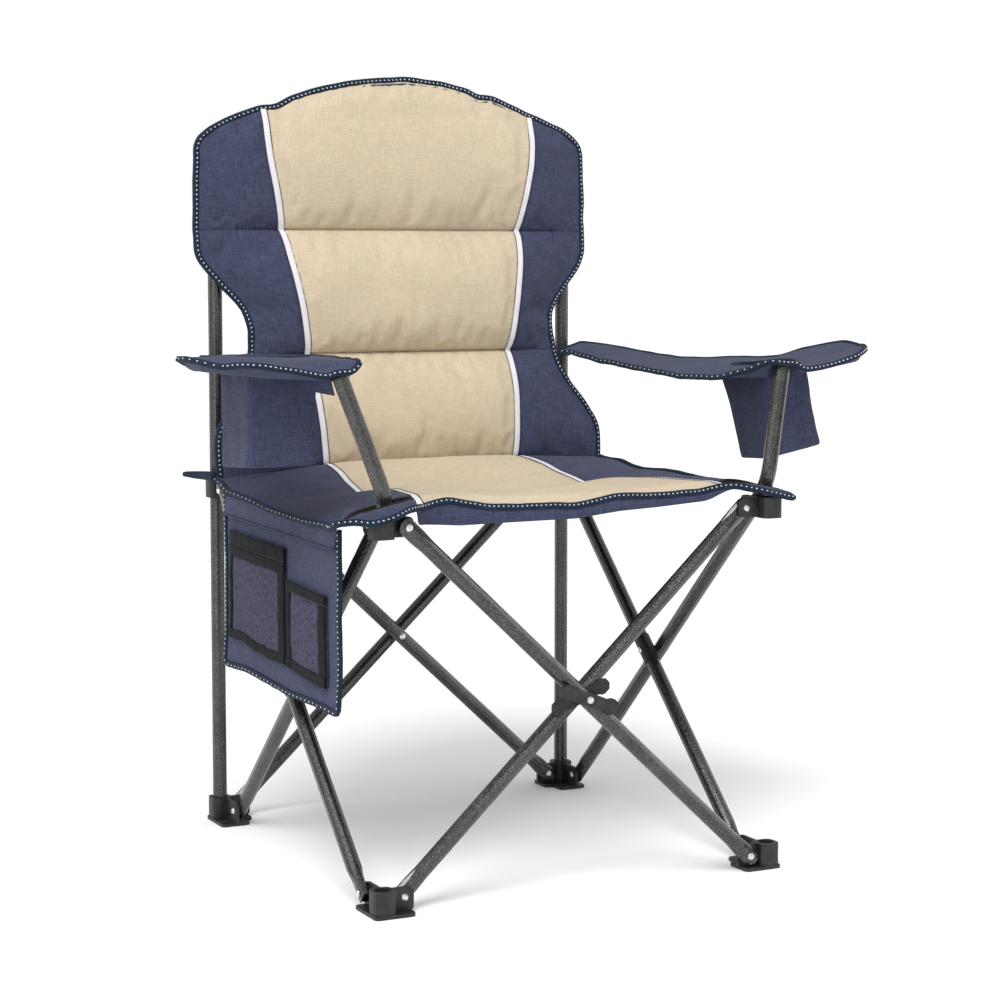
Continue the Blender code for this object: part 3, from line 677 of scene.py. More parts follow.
BACK_WIDTH = [(0.495, 0.297), (0.53, 0.299), (0.555, 0.297), (0.590, 0.275), (0.611, 0.258),
              (0.638, 0.2415), (0.669, 0.2340), (0.700, 0.2320), (0.727, 0.2370), (0.754, 0.2608),
              (0.781, 0.2855), (0.798, 0.2978), (0.812, 0.3008), (0.880, 0.3010), (0.930, 0.3000),
              (0.952, 0.2990), (0.963, 0.2955)]
BACK_PIPING = [(0.507, 0.1475), (0.60, 0.1555), (0.665, 0.157), (0.738, 0.169), (0.795, 0.179),
               (0.839, 0.185), (0.88, 0.193), (0.93, 0.2035), (0.965, 0.208), (1.0045, 0.2095)]
BACK_TOP = [(-0.2955, 0.963), (-0.2842, 0.9727), (-0.2559, 0.9884), (-0.2271, 1.0001), (-0.2097, 1.0061),
            (-0.1903, 1.0059), (-0.1687, 1.0183), (-0.1393, 1.0288), (-0.0945, 1.0399), (-0.0488, 1.0469),
            (0.0055, 1.0508), (0.0613, 1.0463), (0.1023, 1.0376), (0.1227, 1.0283), (0.1437, 1.0289),
            (0.1778, 1.0169), (0.2124, 1.0034), (0.2646, 0.9858), (0.2842, 0.9735), (0.2955, 0.963)]
BACK_DEPTH = [(0.507, 0.199), (0.60, 0.222), (0.665, 0.239), (0.75, 0.254), (0.839, 0.265), (0.93, 0.271),
              (1.003, 0.274), (1.05, 0.268)]
BACK_EDGE_DEPTH = [(0.495, 0.219), (0.53, 0.222), (0.60, 0.233), (0.667, 0.244), (0.70, 0.2495),
                   (0.7243, 0.2567), (0.754, 0.2655), (0.781, 0.2735), (0.80, 0.2785), (0.882, 0.2815),
                   (0.966, 0.2800)]
BULGE = (0.024, 0.029, 0.0225)     # how far each padded section stands forward of its seams
SECTION_ROWS = (30, 32, 36)
SECTION_HEIGHT = (0.158, 0.174, 0.170)
PUCKER_REACH = 0.016         # how far from a seam the cloth is puckered
SEAM_DEPTH, SEAM_REACH = 0.0022, 0.006
POCKET_SEAM = 0.2485         # how far out the seam of the pocket over a post shows on the face
# pressure, frames, largest movement and stretch with which the panels are inflated
CENTRE_INFLATION, SIDE_INFLATION = (3.0, 14, 4 * MM, 0.03), (2.0, 12, 3 * MM, 0.02)


def seam_dip(distance):
    """How far a seam draws a pad in, from 0 to 1, at a distance from it."""
    return math.exp(-(distance / SEAM_REACH) ** 2)


def back_rows():
    """(section, share up the section) of every row of the back's grids."""
    rows = []
    for section, count in enumerate(SECTION_ROWS):
        for k in range(count + (section == 2)):
            t = k / count
            t -= 0.07 * math.sin(2 * math.pi * t)      # closer together near the seams
            rows.append((section, min(max(t, 0), 1)))
    return rows


def back_point(section, t, side, share):
    """A point of the back's face, and its bulge. share runs across the panel: -1 to 1 in the centre
    one (side 0), and 0 to 1 outward in the left (-1) and right (1) ones."""
    if section == 2:
        level_piping = SEAM_HIGH + t * (PIPING_TOP - SEAM_HIGH)
        level_edge = SEAM_HIGH + t * (CORNER_TOP - SEAM_HIGH)
    else:
        low, high = ((CREASE, SEAM_LOW), (SEAM_LOW, SEAM_HIGH))[section]
        level_piping = level_edge = low + t * (high - low)
        if section == 0 and side:
            level_edge -= (CREASE - 0.488) * (1 - t) ** 2
    piping, width = table(level_piping, BACK_PIPING), table(level_edge, BACK_WIDTH)
    if side < 0:
        width -= 0.0055 * smoothstep((0.60 - level_edge) / 0.04)
    if side == 0:
        x = share * piping
        x_top = share * table(PIPING_TOP, BACK_PIPING)
    else:
        x = side * (piping + share * (width - piping))
        top_piping, top_width = table(PIPING_TOP, BACK_PIPING), table(CORNER_TOP, BACK_WIDTH)
        x_top = side * (top_piping + share * (top_width - top_piping))
    if section == 2:
        z = SEAM_HIGH + t * (table(x_top, BACK_TOP) - SEAM_HIGH)
    else:
        z = level_piping + (share * (level_edge - level_piping) if side else 0)
    depth = table(z if side == 0 else min(z, PIPING_TOP), BACK_DEPTH)
    bulge = BULGE[section] * math.sin(math.pi * min(t, 1)) ** 0.5
    if section == 2:        # the top section stays full up to its bound edge
        bulge = BULGE[2] * math.sin(math.pi * t * 0.965) ** 0.5
    if side == 0:
        bulge *= 1 + 0.22 * (1 - share * share)
        bulge -= SEAM_DEPTH * seam_dip((1 - abs(share)) * piping)
    else:
        edge_depth = table(level_edge, BACK_EDGE_DEPTH)
        depth = depth + smoothstep(share) * (edge_depth - depth)
        bulge *= (1 - share) ** 1.1 * 0.95 + 0.05
        bulge -= SEAM_DEPTH * seam_dip(share * (width - piping))
    return x, depth - bulge, z, bulge


def back_grid(side, columns):
    """A panel's grid of points, and how far each of them bulges."""
    rows = back_rows()
    grid, bulges = np.zeros((len(rows), columns, 3)), np.zeros((len(rows), columns))
    for i, (section, t) in enumerate(rows):
        for j in range(columns):
            share = j / (columns - 1)
            if side == 0:
                share = share * 2 - 1
            x, y, z, bulges[i, j] = back_point(section, t, side, share)
            seam = min(t, 1 - t) if section < 2 else t
            pucker = math.exp(-seam * SECTION_HEIGHT[section] / PUCKER_REACH) * (0.2 if seam < 1e-6 else 1)
            slanted = x + 0.5 * (z - round(z, 1)) * ripple((x * 12, z * 5, 9.1))
            y += 0.0030 * pucker * ripple((slanted * 62, section + round(t), 3.3))
            y += (0.0024 if side == 0 else 0.0036) * ripple((x * 13, z * 15, 1.7))
            if side:
                y += 0.0014 * ripple((x * 38 + z * 12, z * 44, 2.9))
            grid[i, j] = (x, y, z)
    return grid, bulges


def back_panel(name, side, columns, behind, materials, seam_rows, inflation):
    """A closed, inflated pad: its face, and a flatter rear a little behind the seams."""
    grid, bulges = back_grid(side, columns)
    rear = grid.copy()
    rear[..., 1] = grid[..., 1] + bulges + behind
    panel = closed_pair(name, grid, rear, *materials, flip=side < 0)
    # held along its seams and borders and all over its rear, and free from the fourth grid line on
    hold = np.ones(len(panel.data.vertices))
    for i in range(len(grid)):
        distance = min(abs(i - s) for s in seam_rows)
        for j in range(columns):
            hold[i * columns + j] = 1 - min(distance / 4, min(j, columns - 1 - j) / 4, 1)
    puff(panel, hold, *inflation)
    return grid, panel


def make_back():
    """The three panels with their seams and piping, and the binding round them."""
    rows = back_rows()
    seam_rows = [i for i, (_, t) in enumerate(rows) if t == 0] + [len(rows) - 1]
    # the centre pad's rear and rim take the darker navy copy: painted shade
    centre, pad = back_panel("back_centre_panel", 0, 57, 0.006, (TAN, SHADED_NAVY), seam_rows, CENTRE_INFLATION)
    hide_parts("back_pad")
    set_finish(pad, "tan_fabric")
    pieces, grids = [pad], {}
    for side, name in ((-1, "left"), (1, "right")):
        grid, panel = back_panel(f"back_{name}_panel", side, 24, 0.005, (NAVY,), seam_rows, SIDE_INFLATION)
        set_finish(panel, "navy_fabric")
        grids[side] = grid
        pieces += [panel] + piping(f"back_{name}_piping", grid[:, 0], FORWARD)
        # the seam of the pocket over the post
        line = []
        for row in grid[seam_rows[2] - 4:len(rows) - 3]:
            at = np.interp(POCKET_SEAM, np.abs(row[:, 0]), np.arange(len(row)))
            low, high = row[int(at)], row[min(int(at) + 1, len(row) - 1)]
            line.append(low + (high - low) * (at - int(at)) + [0, -0.0009, 0])
        seams = [("pocket_seam", line, (4.4, 3.0, 0.7))]
        seams += [(f"seam_{s}", grid[s] + [0, -0.0006, 0], (4.2, 2.6, 0.6)) for s in seam_rows[1:3]]
        for tag, line, sizes in seams:
            row = stitch_row(f"back_{name}_{tag}", line, FORWARD, sizes, THREAD_DARK, "navy_fabric")
            pieces.append(row)
    for s in seam_rows[1:3]:
        for tag, shift in (("low", -2.4 * MM), ("high", 2.4 * MM)):
            line, sizes = centre[s] + [0, -0.0010, shift], (4.0, 2.6, 0.65)
            row = stitch_row(f"back_seam_{s}_{tag}", line, FORWARD, sizes, THREAD_TAN, "tan_fabric")
            pieces.append(row)
    # one binding all the way round, from the left lower corner over the top to the right one
    left, right = grids[-1], grids[1]
    top = [left[-1, -2::-1], centre[-1, 1:-1], right[-1, :-1]]
    edge = np.concatenate([left[:, -1], *top, right[::-1, -1]])
    edge = smoothed(edge, 1) + [0, 0.003, 0]
    pieces += bound_edge("back_binding", edge, FORWARD, -1, (9.0, 9.0, 6.4, 0.9), (2.7, 1.0), 35)
    hang_on_back(pieces)


def hang_on_back(pieces):
    """Pieces that ride on the left post."""
    for piece in pieces:
        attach(piece, "rear_left")
        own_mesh(piece)


POCKET_LOW = 0.772           # where the pockets over the posts begin
COVER_LEVEL = 0.80           # the cover's rows are level up to here, and follow its top edge above it
COVER_SEAM, COVER_HALF = 0.2505, 0.2965      # the pocket's seam on the cover, and half the cover's width


def make_back_cover():
    """One sheet of lining over the back of the pad, with a pocket over the top of each post."""
    levels = np.concatenate([np.linspace(0.505, COVER_LEVEL, 28), np.linspace(0.81, 1.0, 26)])
    columns = 81
    grid = np.zeros((len(levels), columns, 3))
    for i, z in enumerate(levels):
        half = table(min(z, CORNER_TOP), BACK_WIDTH) - 0.004
        for j in range(columns):
            x = (j / (columns - 1) * 2 - 1) * half
            top = table(x, BACK_TOP) - 0.0025
            level = z
            if z > COVER_LEVEL:
                level = COVER_LEVEL + (z - COVER_LEVEL) / 0.20 * (top - COVER_LEVEL)
            depth = table(level, BACK_DEPTH) + 0.0085
            edge = table(min(level, CORNER_TOP), BACK_EDGE_DEPTH) + 0.0055
            share = abs(x) / half
            y = depth + smoothstep((share - 0.5) * 2) * (edge - depth)
            if level > POCKET_LOW:
                over = smoothstep((level - POCKET_LOW) / 0.02)
                over *= smoothstep((CORNER_TOP + 0.02 - level) / 0.03)
                ridge = math.exp(-(max(abs(abs(x) - POST_X) - 0.009, 0) / 0.007) ** 2)
                y = max(y, y + over * ridge * (POST_Y + 0.0125 - y))
            y += 0.0012 * ripple((x * 14, level * 12, 8.8))
            # its top edge turns forward to the binding
            y -= 0.0185 * smoothstep(1 - (top - level) / 0.020) * (1 - share ** 4)
            grid[i, j] = (x, y, level)
    cover = shell("back_rear_cover", grid, 1.4 * MM, NAVY, flip=True)
    seams = []
    for side in (-1, 1):
        j = int(round((side * COVER_SEAM / COVER_HALF + 1) / 2 * (columns - 1)))
        spots = resample(grid[30:52, j] + [0, 0.0004, 0], 4.2 * MM)
        seams.append(stitches(spots, (0, 1.0, 0), 2.6 * MM, 0.6 * MM))
    thread = joined("back_sleeve_seams", seams, THREAD_DARK)
    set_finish(cover, "navy_fabric")
    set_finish(thread, "navy_fabric")
    hang_on_back([cover, thread])


# ---- Seat ----
SEAT_FRONT_HALF = 0.219      # half the tan panel's width at the seat's front edge
SEAT_PIPING_X = [(-0.27, SEAT_FRONT_HALF), (-0.20, 0.2015), (-0.10, 0.1830), (0.20, 0.148)]
SEAT_PIPING_Z = [(-0.27, 0.507), (-0.245, 0.509), (-0.20, 0.508), (-0.158, 0.507), (-0.113, 0.505),
                 (-0.068, 0.500), (-0.02, 0.492), (0.02, 0.487), (0.041, 0.491), (0.082, 0.498),
                 (0.115, 0.506), (0.15, 0.511), (0.174, 0.513), (0.20, 0.511)]
SEAT_SIDE_Z = {
    1: [(-0.30, 0.4915), (-0.178, 0.497), (-0.127, 0.492), (-0.075, 0.494), (-0.02, 0.497),
        (0.035, 0.497), (0.092, 0.494), (0.121, 0.496), (0.157, 0.502), (0.18, 0.5015), (0.22, 0.505)],
    -1: [(-0.30, 0.480), (-0.205, 0.471), (-0.123, 0.4705), (-0.02, 0.473), (0.09, 0.4805),
         (0.159, 0.484), (0.186, 0.490), (0.22, 0.496)],
}
SEAT_FRONT_CENTRE = [(-0.20, 0.4985), (-0.188, 0.5015), (-0.175, 0.502), (-0.148, 0.495), (-0.12, 0.490),
                     (-0.079, 0.489), (-0.03, 0.4885), (0.0, 0.487), (0.035, 0.492), (0.0635, 0.4957),
                     (0.122, 0.494), (0.182, 0.496), (0.20, 0.499)]
SEAT_FRONT_SIDE = {
    1: [(0.20, 0.499), (0.2272, 0.504), (0.2578, 0.4971), (0.2963, 0.4873), (0.318, 0.4845)],
    -1: [(0.20, 0.4985), (0.2148, 0.4956), (0.24, 0.4955), (0.258, 0.4912), (0.271, 0.4862),
         (0.2838, 0.4838), (0.2971, 0.4814), (0.3119, 0.4833), (0.333, 0.4808)],
}
SEAT_TIP = {1: 0.306, -1: 0.333}
SEAT_FRONT_Y = [(0.0, -0.270), (0.20, -0.269), (0.215, -0.275), (0.235, -0.292), (0.258, -0.306),
                (0.297, -0.306), (0.312, -0.298), (0.333, -0.285)]
SEAT_REAR_Y, SEAT_HALF = 0.1965, 0.300
BRACKET_CLEAR = 0.4925       # the cloth stays above this height over the front brackets
SEAT_SEAM_DEPTH = 0.0025
SLOT_MIDDLE, SLOT_HALF = (0.264, -0.2605), (0.043, 0.0155)


def seat_point(side, share, y_share, front):
    """A point of the seat's upper surface. y_share runs from the back row, or from the fold, forward."""
    if front:
        x_front = abs(share) * SEAT_FRONT_HALF
        if side:
            x_front = SEAT_FRONT_HALF + share * (SEAT_TIP[side] - SEAT_FRONT_HALF)
        y = y_share * table(x_front, SEAT_FRONT_Y)
    else:
        rear = SEAT_REAR_Y + (0.019 * share if side else 0)
        y = rear * (1 - y_share)
    piping = table(y, SEAT_PIPING_X)
    level = table(y, SEAT_PIPING_Z)
    if side == 0:
        x = share * piping
        sag = 0.0125 * (1 - share * share) * smoothstep((0.19 - y) / 0.10)
        z = level - sag + 0.005 * (1 - share ** 8) * smoothstep((0.197 - y) / 0.03)
        z -= SEAT_SEAM_DEPTH * seam_dip((1 - abs(share)) * piping)
        end = table(x, SEAT_FRONT_CENTRE)
        if abs(x) > 0.20:
            end = table(abs(x), SEAT_FRONT_SIDE[1 if x > 0 else -1])
    else:
        edge = SEAT_HALF
        if front:
            edge += (SEAT_TIP[side] - SEAT_HALF) * smoothstep((-y - 0.20) / 0.085)
        edge -= 0.004 * smoothstep((y - 0.15) / 0.06)
        x = side * (piping + share * (edge - piping))
        z = level + share * (table(y, SEAT_SIDE_Z[side]) - level)
        z += 0.006 * math.sin(math.pi * share) ** 0.8 * smoothstep((0.19 - y) / 0.04)
        z -= SEAT_SEAM_DEPTH * seam_dip(share * (edge - piping))
        raised = smoothstep((-y - 0.205) / 0.02)
        raised *= smoothstep((abs(x) - 0.215) / 0.012) * smoothstep((0.303 - abs(x)) / 0.012)
        z += max(BRACKET_CLEAR + 0.0015 - z, 0) * raised
        end = table(abs(x), SEAT_FRONT_SIDE[side])
    if front:
        reach = -table(abs(x), SEAT_FRONT_Y)
        drop = smoothstep(1 - (reach + y) / (0.026 if side == 0 else 0.009))
        z += (end + 0.003 - z) * drop
    elif side == 0:
        z -= 0.0065 * math.exp(-((SEAT_REAR_Y - y) / 0.005) ** 2)
    z += 0.0016 * ripple((x * 16, y * 14, 4.4 + side))
    return x, y, z


def seat_grid(side, front):
    if side == 0:
        return surface(66 if front else 46, 61, lambda u, v: seat_point(0, u * 2 - 1, v, front))
    return surface(66 if front else 46, 28, lambda u, v: seat_point(side, u, v, front))


def seat_border_fade(grid, front):
    """How far each point is from the sewn edges, from 0 to 1."""
    rows, columns = grid.shape[:2]
    i, j = np.arange(rows)[:, None], np.arange(columns)[None, :]
    ends = (rows - 1 - i) if front else i
    return np.minimum(np.minimum(ends / 5, 1), np.minimum(j, columns - 1 - j) / 4)


def make_seat():
    """The seat's two halves, each of three panels with piping between them and a bound edge."""
    for front, body, half in ((False, "seat_rear", "rear"), (True, "seat_front", "front")):
        centre = seat_grid(0, front)
        under = centre.copy()
        under[..., 2] -= 0.006 + 0.012 * seat_border_fade(centre, front)
        # the pad's underside and rim take the darker navy copy: painted shade
        pad = closed_pair(f"seat_{half}_centre", centre, under, TAN, SHADED_NAVY, flip=True)
        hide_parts(f"seat_{half}_pad")
        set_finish(pad, "tan_fabric")
        pieces, grids = [pad], {}
        for side, name in ((-1, "left"), (1, "right")):
            grid = grids[side] = seat_grid(side, front)
            keep = None
            if front:
                middle = (grid[:-1, :-1] + grid[1:, 1:]) / 2
                away = ((middle[..., 0] - side * SLOT_MIDDLE[0]) / SLOT_HALF[0]) ** 2
                keep = away + (np.abs(middle[..., 1] - SLOT_MIDDLE[1]) / SLOT_HALF[1]) ** 2 > 1
            under = grid.copy()
            under[..., 2] -= 0.0030 + 0.003 * seat_border_fade(grid, front)
            # painted shade: the panel's underside and rim take the darker navy copy
            panel = closed_pair(f"seat_{half}_{name}_side", grid, under, NAVY, SHADED_NAVY, side > 0, keep)
            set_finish(panel, "navy_fabric")
            pieces.append(panel)
            pieces += piping(f"seat_{half}_{name}_piping", grid[0 if front else 2:, 0], UPWARD)
            if front:
                around = [size + 0.001 for size in SLOT_HALF]
                rim = hole_rim(f"seat_{name}_slot", grid, side, SLOT_MIDDLE, around, 44, 0.0004,
                               oval(3.4 * MM, 1.7 * MM, 0.6, 10), SLOT_TAPE)
                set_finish(rim, "navy_fabric")
                pieces.append(rim)
            else:
                edge = grid[:, -1] + [side * 0.0055, 0, -0.001]
                pieces += bound_edge(f"seat_rear_{name}_binding", edge, (side * 0.96, 0.0, 0.28), 0,
                                     (8.5, 6.5, 7.5, 0.5), (2.0, 0.9))
        if front:
            left, right = grids[-1], grids[1]
            ends = [left[-1, -2:0:-1], centre[-1], right[-1, 1:-1]]
            tips = np.concatenate([left[:, -1], *ends, right[::-1, -1]])
            count = len(left)
            outward = np.tile([0, -0.9, 0.42], (len(tips), 1))
            outward[:count - 3] = (-0.96, 0, 0.28)
            outward[3 - count:] = (0.96, 0, 0.28)
            outward = unit(smoothed(outward, 8))
            tips = smoothed(tips, 1) + [0, 0, -0.001]
            wider = 0.0055 * smoothstep((tips[:, 1] + 0.285) / 0.05)
            tips[:count, 0] -= wider[:count]
            tips[-count:, 0] += wider[-count:]
            pieces += bound_edge("seat_front_binding", tips, outward, 0, (8.5, 6.5, 6.6, 0.5), (2.4, 0.95))
            pieces.append(front_band(centre, left, right))
        for piece in pieces:
            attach(piece, body)
            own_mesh(piece)


def front_band(centre, left, right):
    """The facing that hangs below the seat's front binding."""
    edge = np.concatenate([left[-1, 2::-1], centre[-1, 1:-1], right[-1, :3]])
    edge = resample(smoothed(edge, 2), 5 * MM)
    low = [(-0.30, 0.4737), (-0.218, 0.4760), (-0.161, 0.4715), (-0.106, 0.4720), (0, 0.4725),
           (0.064, 0.4790), (0.122, 0.4816), (0.182, 0.4855), (0.21, 0.4866), (0.30, 0.49)]
    rows = 6
    grid = np.zeros((rows, len(edge), 3))
    for j, (x, y, z) in enumerate(edge):
        bottom = min(table(x, low), z - 0.006)
        bottom += (z - 0.005 - bottom) * smoothstep(1 - min(j / 1.5, (len(edge) - 1 - j) / 9))
        for i in range(rows):
            t = i / (rows - 1)
            forward = 0.0005 + 0.0018 * math.sin(math.pi * t)
            grid[i, j] = (x, y - forward, z - 0.002 + t * (bottom - z + 0.002))
    band = shell("seat_front_facing", grid, 1.8 * MM, NAVY, flip=True)
    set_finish(band, "navy_fabric")
    return band


# ---- Armrests and cup pouches ----
ARM_INNER_X = [(-0.272, 0.295), (-0.177, 0.270), (-0.125, 0.268), (0.248, 0.268), (0.2765, 0.262)]
ARM_INNER_Z = {
    1: [(-0.272, 0.666), (-0.177, 0.6425), (-0.125, 0.640), (-0.072, 0.639), (0.038, 0.645),
        (0.155, 0.652), (0.248, 0.661), (0.2765, 0.661)],
    -1: [(-0.272, 0.676), (-0.15, 0.675), (-0.081, 0.6744), (-0.012, 0.673), (0.0586, 0.671),
         (0.1327, 0.669), (0.171, 0.6675), (0.21, 0.6640), (0.2765, 0.661)],
}
ARM_OUTER_X = [(-0.272, 0.423), (-0.262, 0.438), (-0.245, 0.454), (-0.222, 0.470), (-0.200, 0.481),
               (-0.182, 0.486), (-0.160, 0.484), (-0.12, 0.469), (-0.08, 0.441), (-0.03, 0.400),
               (0.0, 0.380), (0.03, 0.362), (0.062, 0.348), (0.106, 0.340), (0.164, 0.330), (0.23, 0.312),
               (0.2765, 0.302)]
ARM_OUTER_Z = {
    1: [(-0.272, 0.678), (-0.222, 0.680), (-0.188, 0.680), (-0.178, 0.682), (-0.155, 0.6845),
        (-0.117, 0.6786), (-0.092, 0.6711), (-0.069, 0.6607), (-0.03, 0.6595), (0.004, 0.6575),
        (0.031, 0.656), (0.062, 0.6558), (0.106, 0.6587), (0.151, 0.663), (0.1925, 0.6676),
        (0.234, 0.671), (0.2765, 0.6727)],
    -1: [(-0.272, 0.677), (-0.254, 0.673), (-0.245, 0.671), (-0.214, 0.678), (-0.188, 0.681),
         (-0.155, 0.680), (-0.117, 0.6765), (-0.092, 0.6711), (-0.069, 0.6640), (-0.03, 0.6620),
         (0.031, 0.662), (0.106, 0.664), (0.151, 0.665), (0.1925, 0.6645), (0.2765, 0.6620)],
}
ARM_FRONT = {
    1: [(0.295, 0.666), (0.315, 0.6585), (0.346, 0.6545), (0.386, 0.661), (0.417, 0.6695),
        (0.445, 0.678)],
    -1: [(0.295, 0.676), (0.3035, 0.6645), (0.3207, 0.6590), (0.346, 0.6614), (0.372, 0.6667),
         (0.397, 0.6707), (0.422, 0.6741), (0.446, 0.6762)],
}
ARM_UNDER = {
    1: [(0.27, 0.636), (0.32, 0.645), (0.414, 0.656), (0.483, 0.668), (0.50, 0.678)],
    -1: [(0.27, 0.655), (0.304, 0.650), (0.356, 0.6536), (0.395, 0.6556), (0.433, 0.660), (0.464, 0.663),
         (0.49, 0.676)],
}
ARM_FRONT_Y, ARM_REAR_Y = -0.272, 0.2765
ARM_TOP = (0.314, -0.258)            # where the arm tube ends under the armrest
# the right armrest's flat middle: where it starts to rise, and its height
FLAT_X, FLAT_Z = 0.36, 0.6535
# room over the arm tube's cap: the least height of the cloth's upper and under side, and how far it reaches
ARM_TOP_CLEAR, ARM_CAP_CLEAR, ARM_CAP_RADIUS = 0.6645, 0.6622, 0.019
ARM_THICK = 0.0038
CUP_AT, CUP_RADIUS = (0.357, -0.145), 0.043


def arm_point(side, y, share):
    """A point of an armrest's upper surface. share runs across it, from 0 inside to 1 outside."""
    x_inner, z_inner = table(y, ARM_INNER_X), table(y, ARM_INNER_Z[side])
    x_outer, z_outer = table(y, ARM_OUTER_X), table(y, ARM_OUTER_Z[side])
    x = x_inner + share * (x_outer - x_inner)
    rise = (x - FLAT_X) / max(x_outer - FLAT_X, 0.02)
    wing = smoothstep((-y - 0.02) / 0.06)
    level = z_inner + share * (z_outer - z_inner)
    flat = FLAT_Z + max(rise, 0) ** 1.6 * (z_outer - FLAT_Z) if side > 0 else level
    z = level + wing * (flat - level) * smoothstep((x - 0.275) / 0.05)
    z += 0.0016 * math.sin(math.pi * share) ** 0.6 * smoothstep((0.276 - y) / 0.03)
    front = smoothstep(1 - (y - ARM_FRONT_Y) / 0.045)
    z += (table(x, ARM_FRONT[side]) - z) * front
    over = math.hypot(x - ARM_TOP[0], y - ARM_TOP[1])
    z += max(ARM_TOP_CLEAR - z, 0) * smoothstep((0.026 - over) / 0.008)
    z += 0.0012 * ripple((x * 30, y * 22, 5 + side))
    return side * x, y, z


def make_armrest(side, name):
    """An armrest: its padded cloth with a cup hole, its bound edge, its pouch and its ends."""
    ys = np.concatenate([np.linspace(ARM_REAR_Y, -0.05, 60), np.linspace(-0.0545, ARM_FRONT_Y, 52)])
    shares = np.linspace(0, 1, 34)
    grid = np.array([[arm_point(side, y, share) for share in shares] for y in ys])
    under = grid.copy()
    sagged = np.interp(np.abs(grid[..., 0]), *zip(*ARM_UNDER[side]))
    reach = smoothstep((-ys - 0.03) / 0.07) * smoothstep((ys + 0.275) / 0.03)
    reach = reach[:, None] * smoothstep(np.minimum(shares, 1 - shares) / 0.08)[None, :]
    under[..., 2] -= ARM_THICK
    under[..., 2] += np.minimum(sagged - under[..., 2], 0) * reach
    cap = np.hypot(np.abs(under[..., 0]) - ARM_TOP[0], under[..., 1] - ARM_TOP[1]) < ARM_CAP_RADIUS
    under[..., 2] = np.where(cap, np.maximum(under[..., 2], ARM_CAP_CLEAR), under[..., 2])
    middle = (grid[:-1, :-1] + grid[1:, 1:]) / 2
    keep = np.hypot(np.abs(middle[..., 0]) - CUP_AT[0], middle[..., 1] - CUP_AT[1]) > CUP_RADIUS
    rest = closed_pair(f"{name}_armrest_cloth", grid, under, NAVY, NAVY, side > 0, keep)
    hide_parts(f"{name}_armrest")
    pieces = [rest]
    loop = np.concatenate([grid[:, 0], grid[-1, 1:-1], grid[::-1, -1], grid[0, -2:0:-1]])
    loop = smoothed(loop, 1, True) + [0, 0, -0.002]
    heading = unit(np.roll(loop, -1, axis=0) - np.roll(loop, 1, axis=0))
    outward = unit(np.cross(heading, [0, 0, 1.0])) * side
    outward = smoothed(unit(outward * 0.88 + [0, 0, 0.42]), 4, True)
    pieces += bound_edge(f"{name}_armrest_binding", loop, unit(outward), 0, (7.6, 6.0, 6.4, 0.5),
                         (2.6, 0.95), closed=True)
    pieces.append(hole_rim(f"{name}_cup_rim", grid, side, CUP_AT, (CUP_RADIUS, CUP_RADIUS), 60, 0.001,
                           oval(3.2 * MM, 2.6 * MM, 0.7, 10), BINDING))
    pieces.append(make_pouch(side, name))
    pieces += make_arm_ends(side, name)
    for piece in pieces:
        if not piece.get("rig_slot"):
            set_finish(piece, "navy_fabric")
        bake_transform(piece)


POUCH_TOP = {1: [(0.322, -0.086), (0.320, -0.203), (0.390, -0.203), (0.394, -0.086)],
             -1: [(0.318, -0.088), (0.3195, -0.203), (0.4112, -0.203), (0.4065, -0.088)]}
POUCH_LOW = {1: [(0.350, -0.098), (0.327, -0.200), (0.4165, -0.200), (0.420, -0.098)],
             -1: [(0.3185, -0.092), (0.3200, -0.200), (0.4122, -0.200), (0.4060, -0.092)]}
POUCH_HIGH = {1: [0.641, 0.647, 0.656, 0.650], -1: [0.657, 0.656, 0.662, 0.664]}
POUCH_FLOOR = {1: [0.525, 0.532, 0.5492, 0.543], -1: [0.544, 0.549, 0.5487, 0.5415]}


def rounded_ring(corners, radius):
    """Points round four corners, rounded off, with the same count between each pair."""
    per_side, per_corner = 14, 6
    corners = [np.array(c, float) for c in corners]
    points = []
    for k, corner in enumerate(corners):
        before, after = corners[k - 1], corners[(k + 1) % 4]
        to_before = (before - corner) / np.linalg.norm(before - corner)
        to_after = (after - corner) / np.linalg.norm(after - corner)
        start, end = corner + to_before * radius, corner + to_after * radius
        for n in range(per_corner):
            t = n / (per_corner - 1)
            points.append((1 - t) ** 2 * start + 2 * t * (1 - t) * corner + t ** 2 * end)
        far = after - to_after * radius
        points += [end + (far - end) * n / per_side for n in range(1, per_side)]
    return np.array(points)


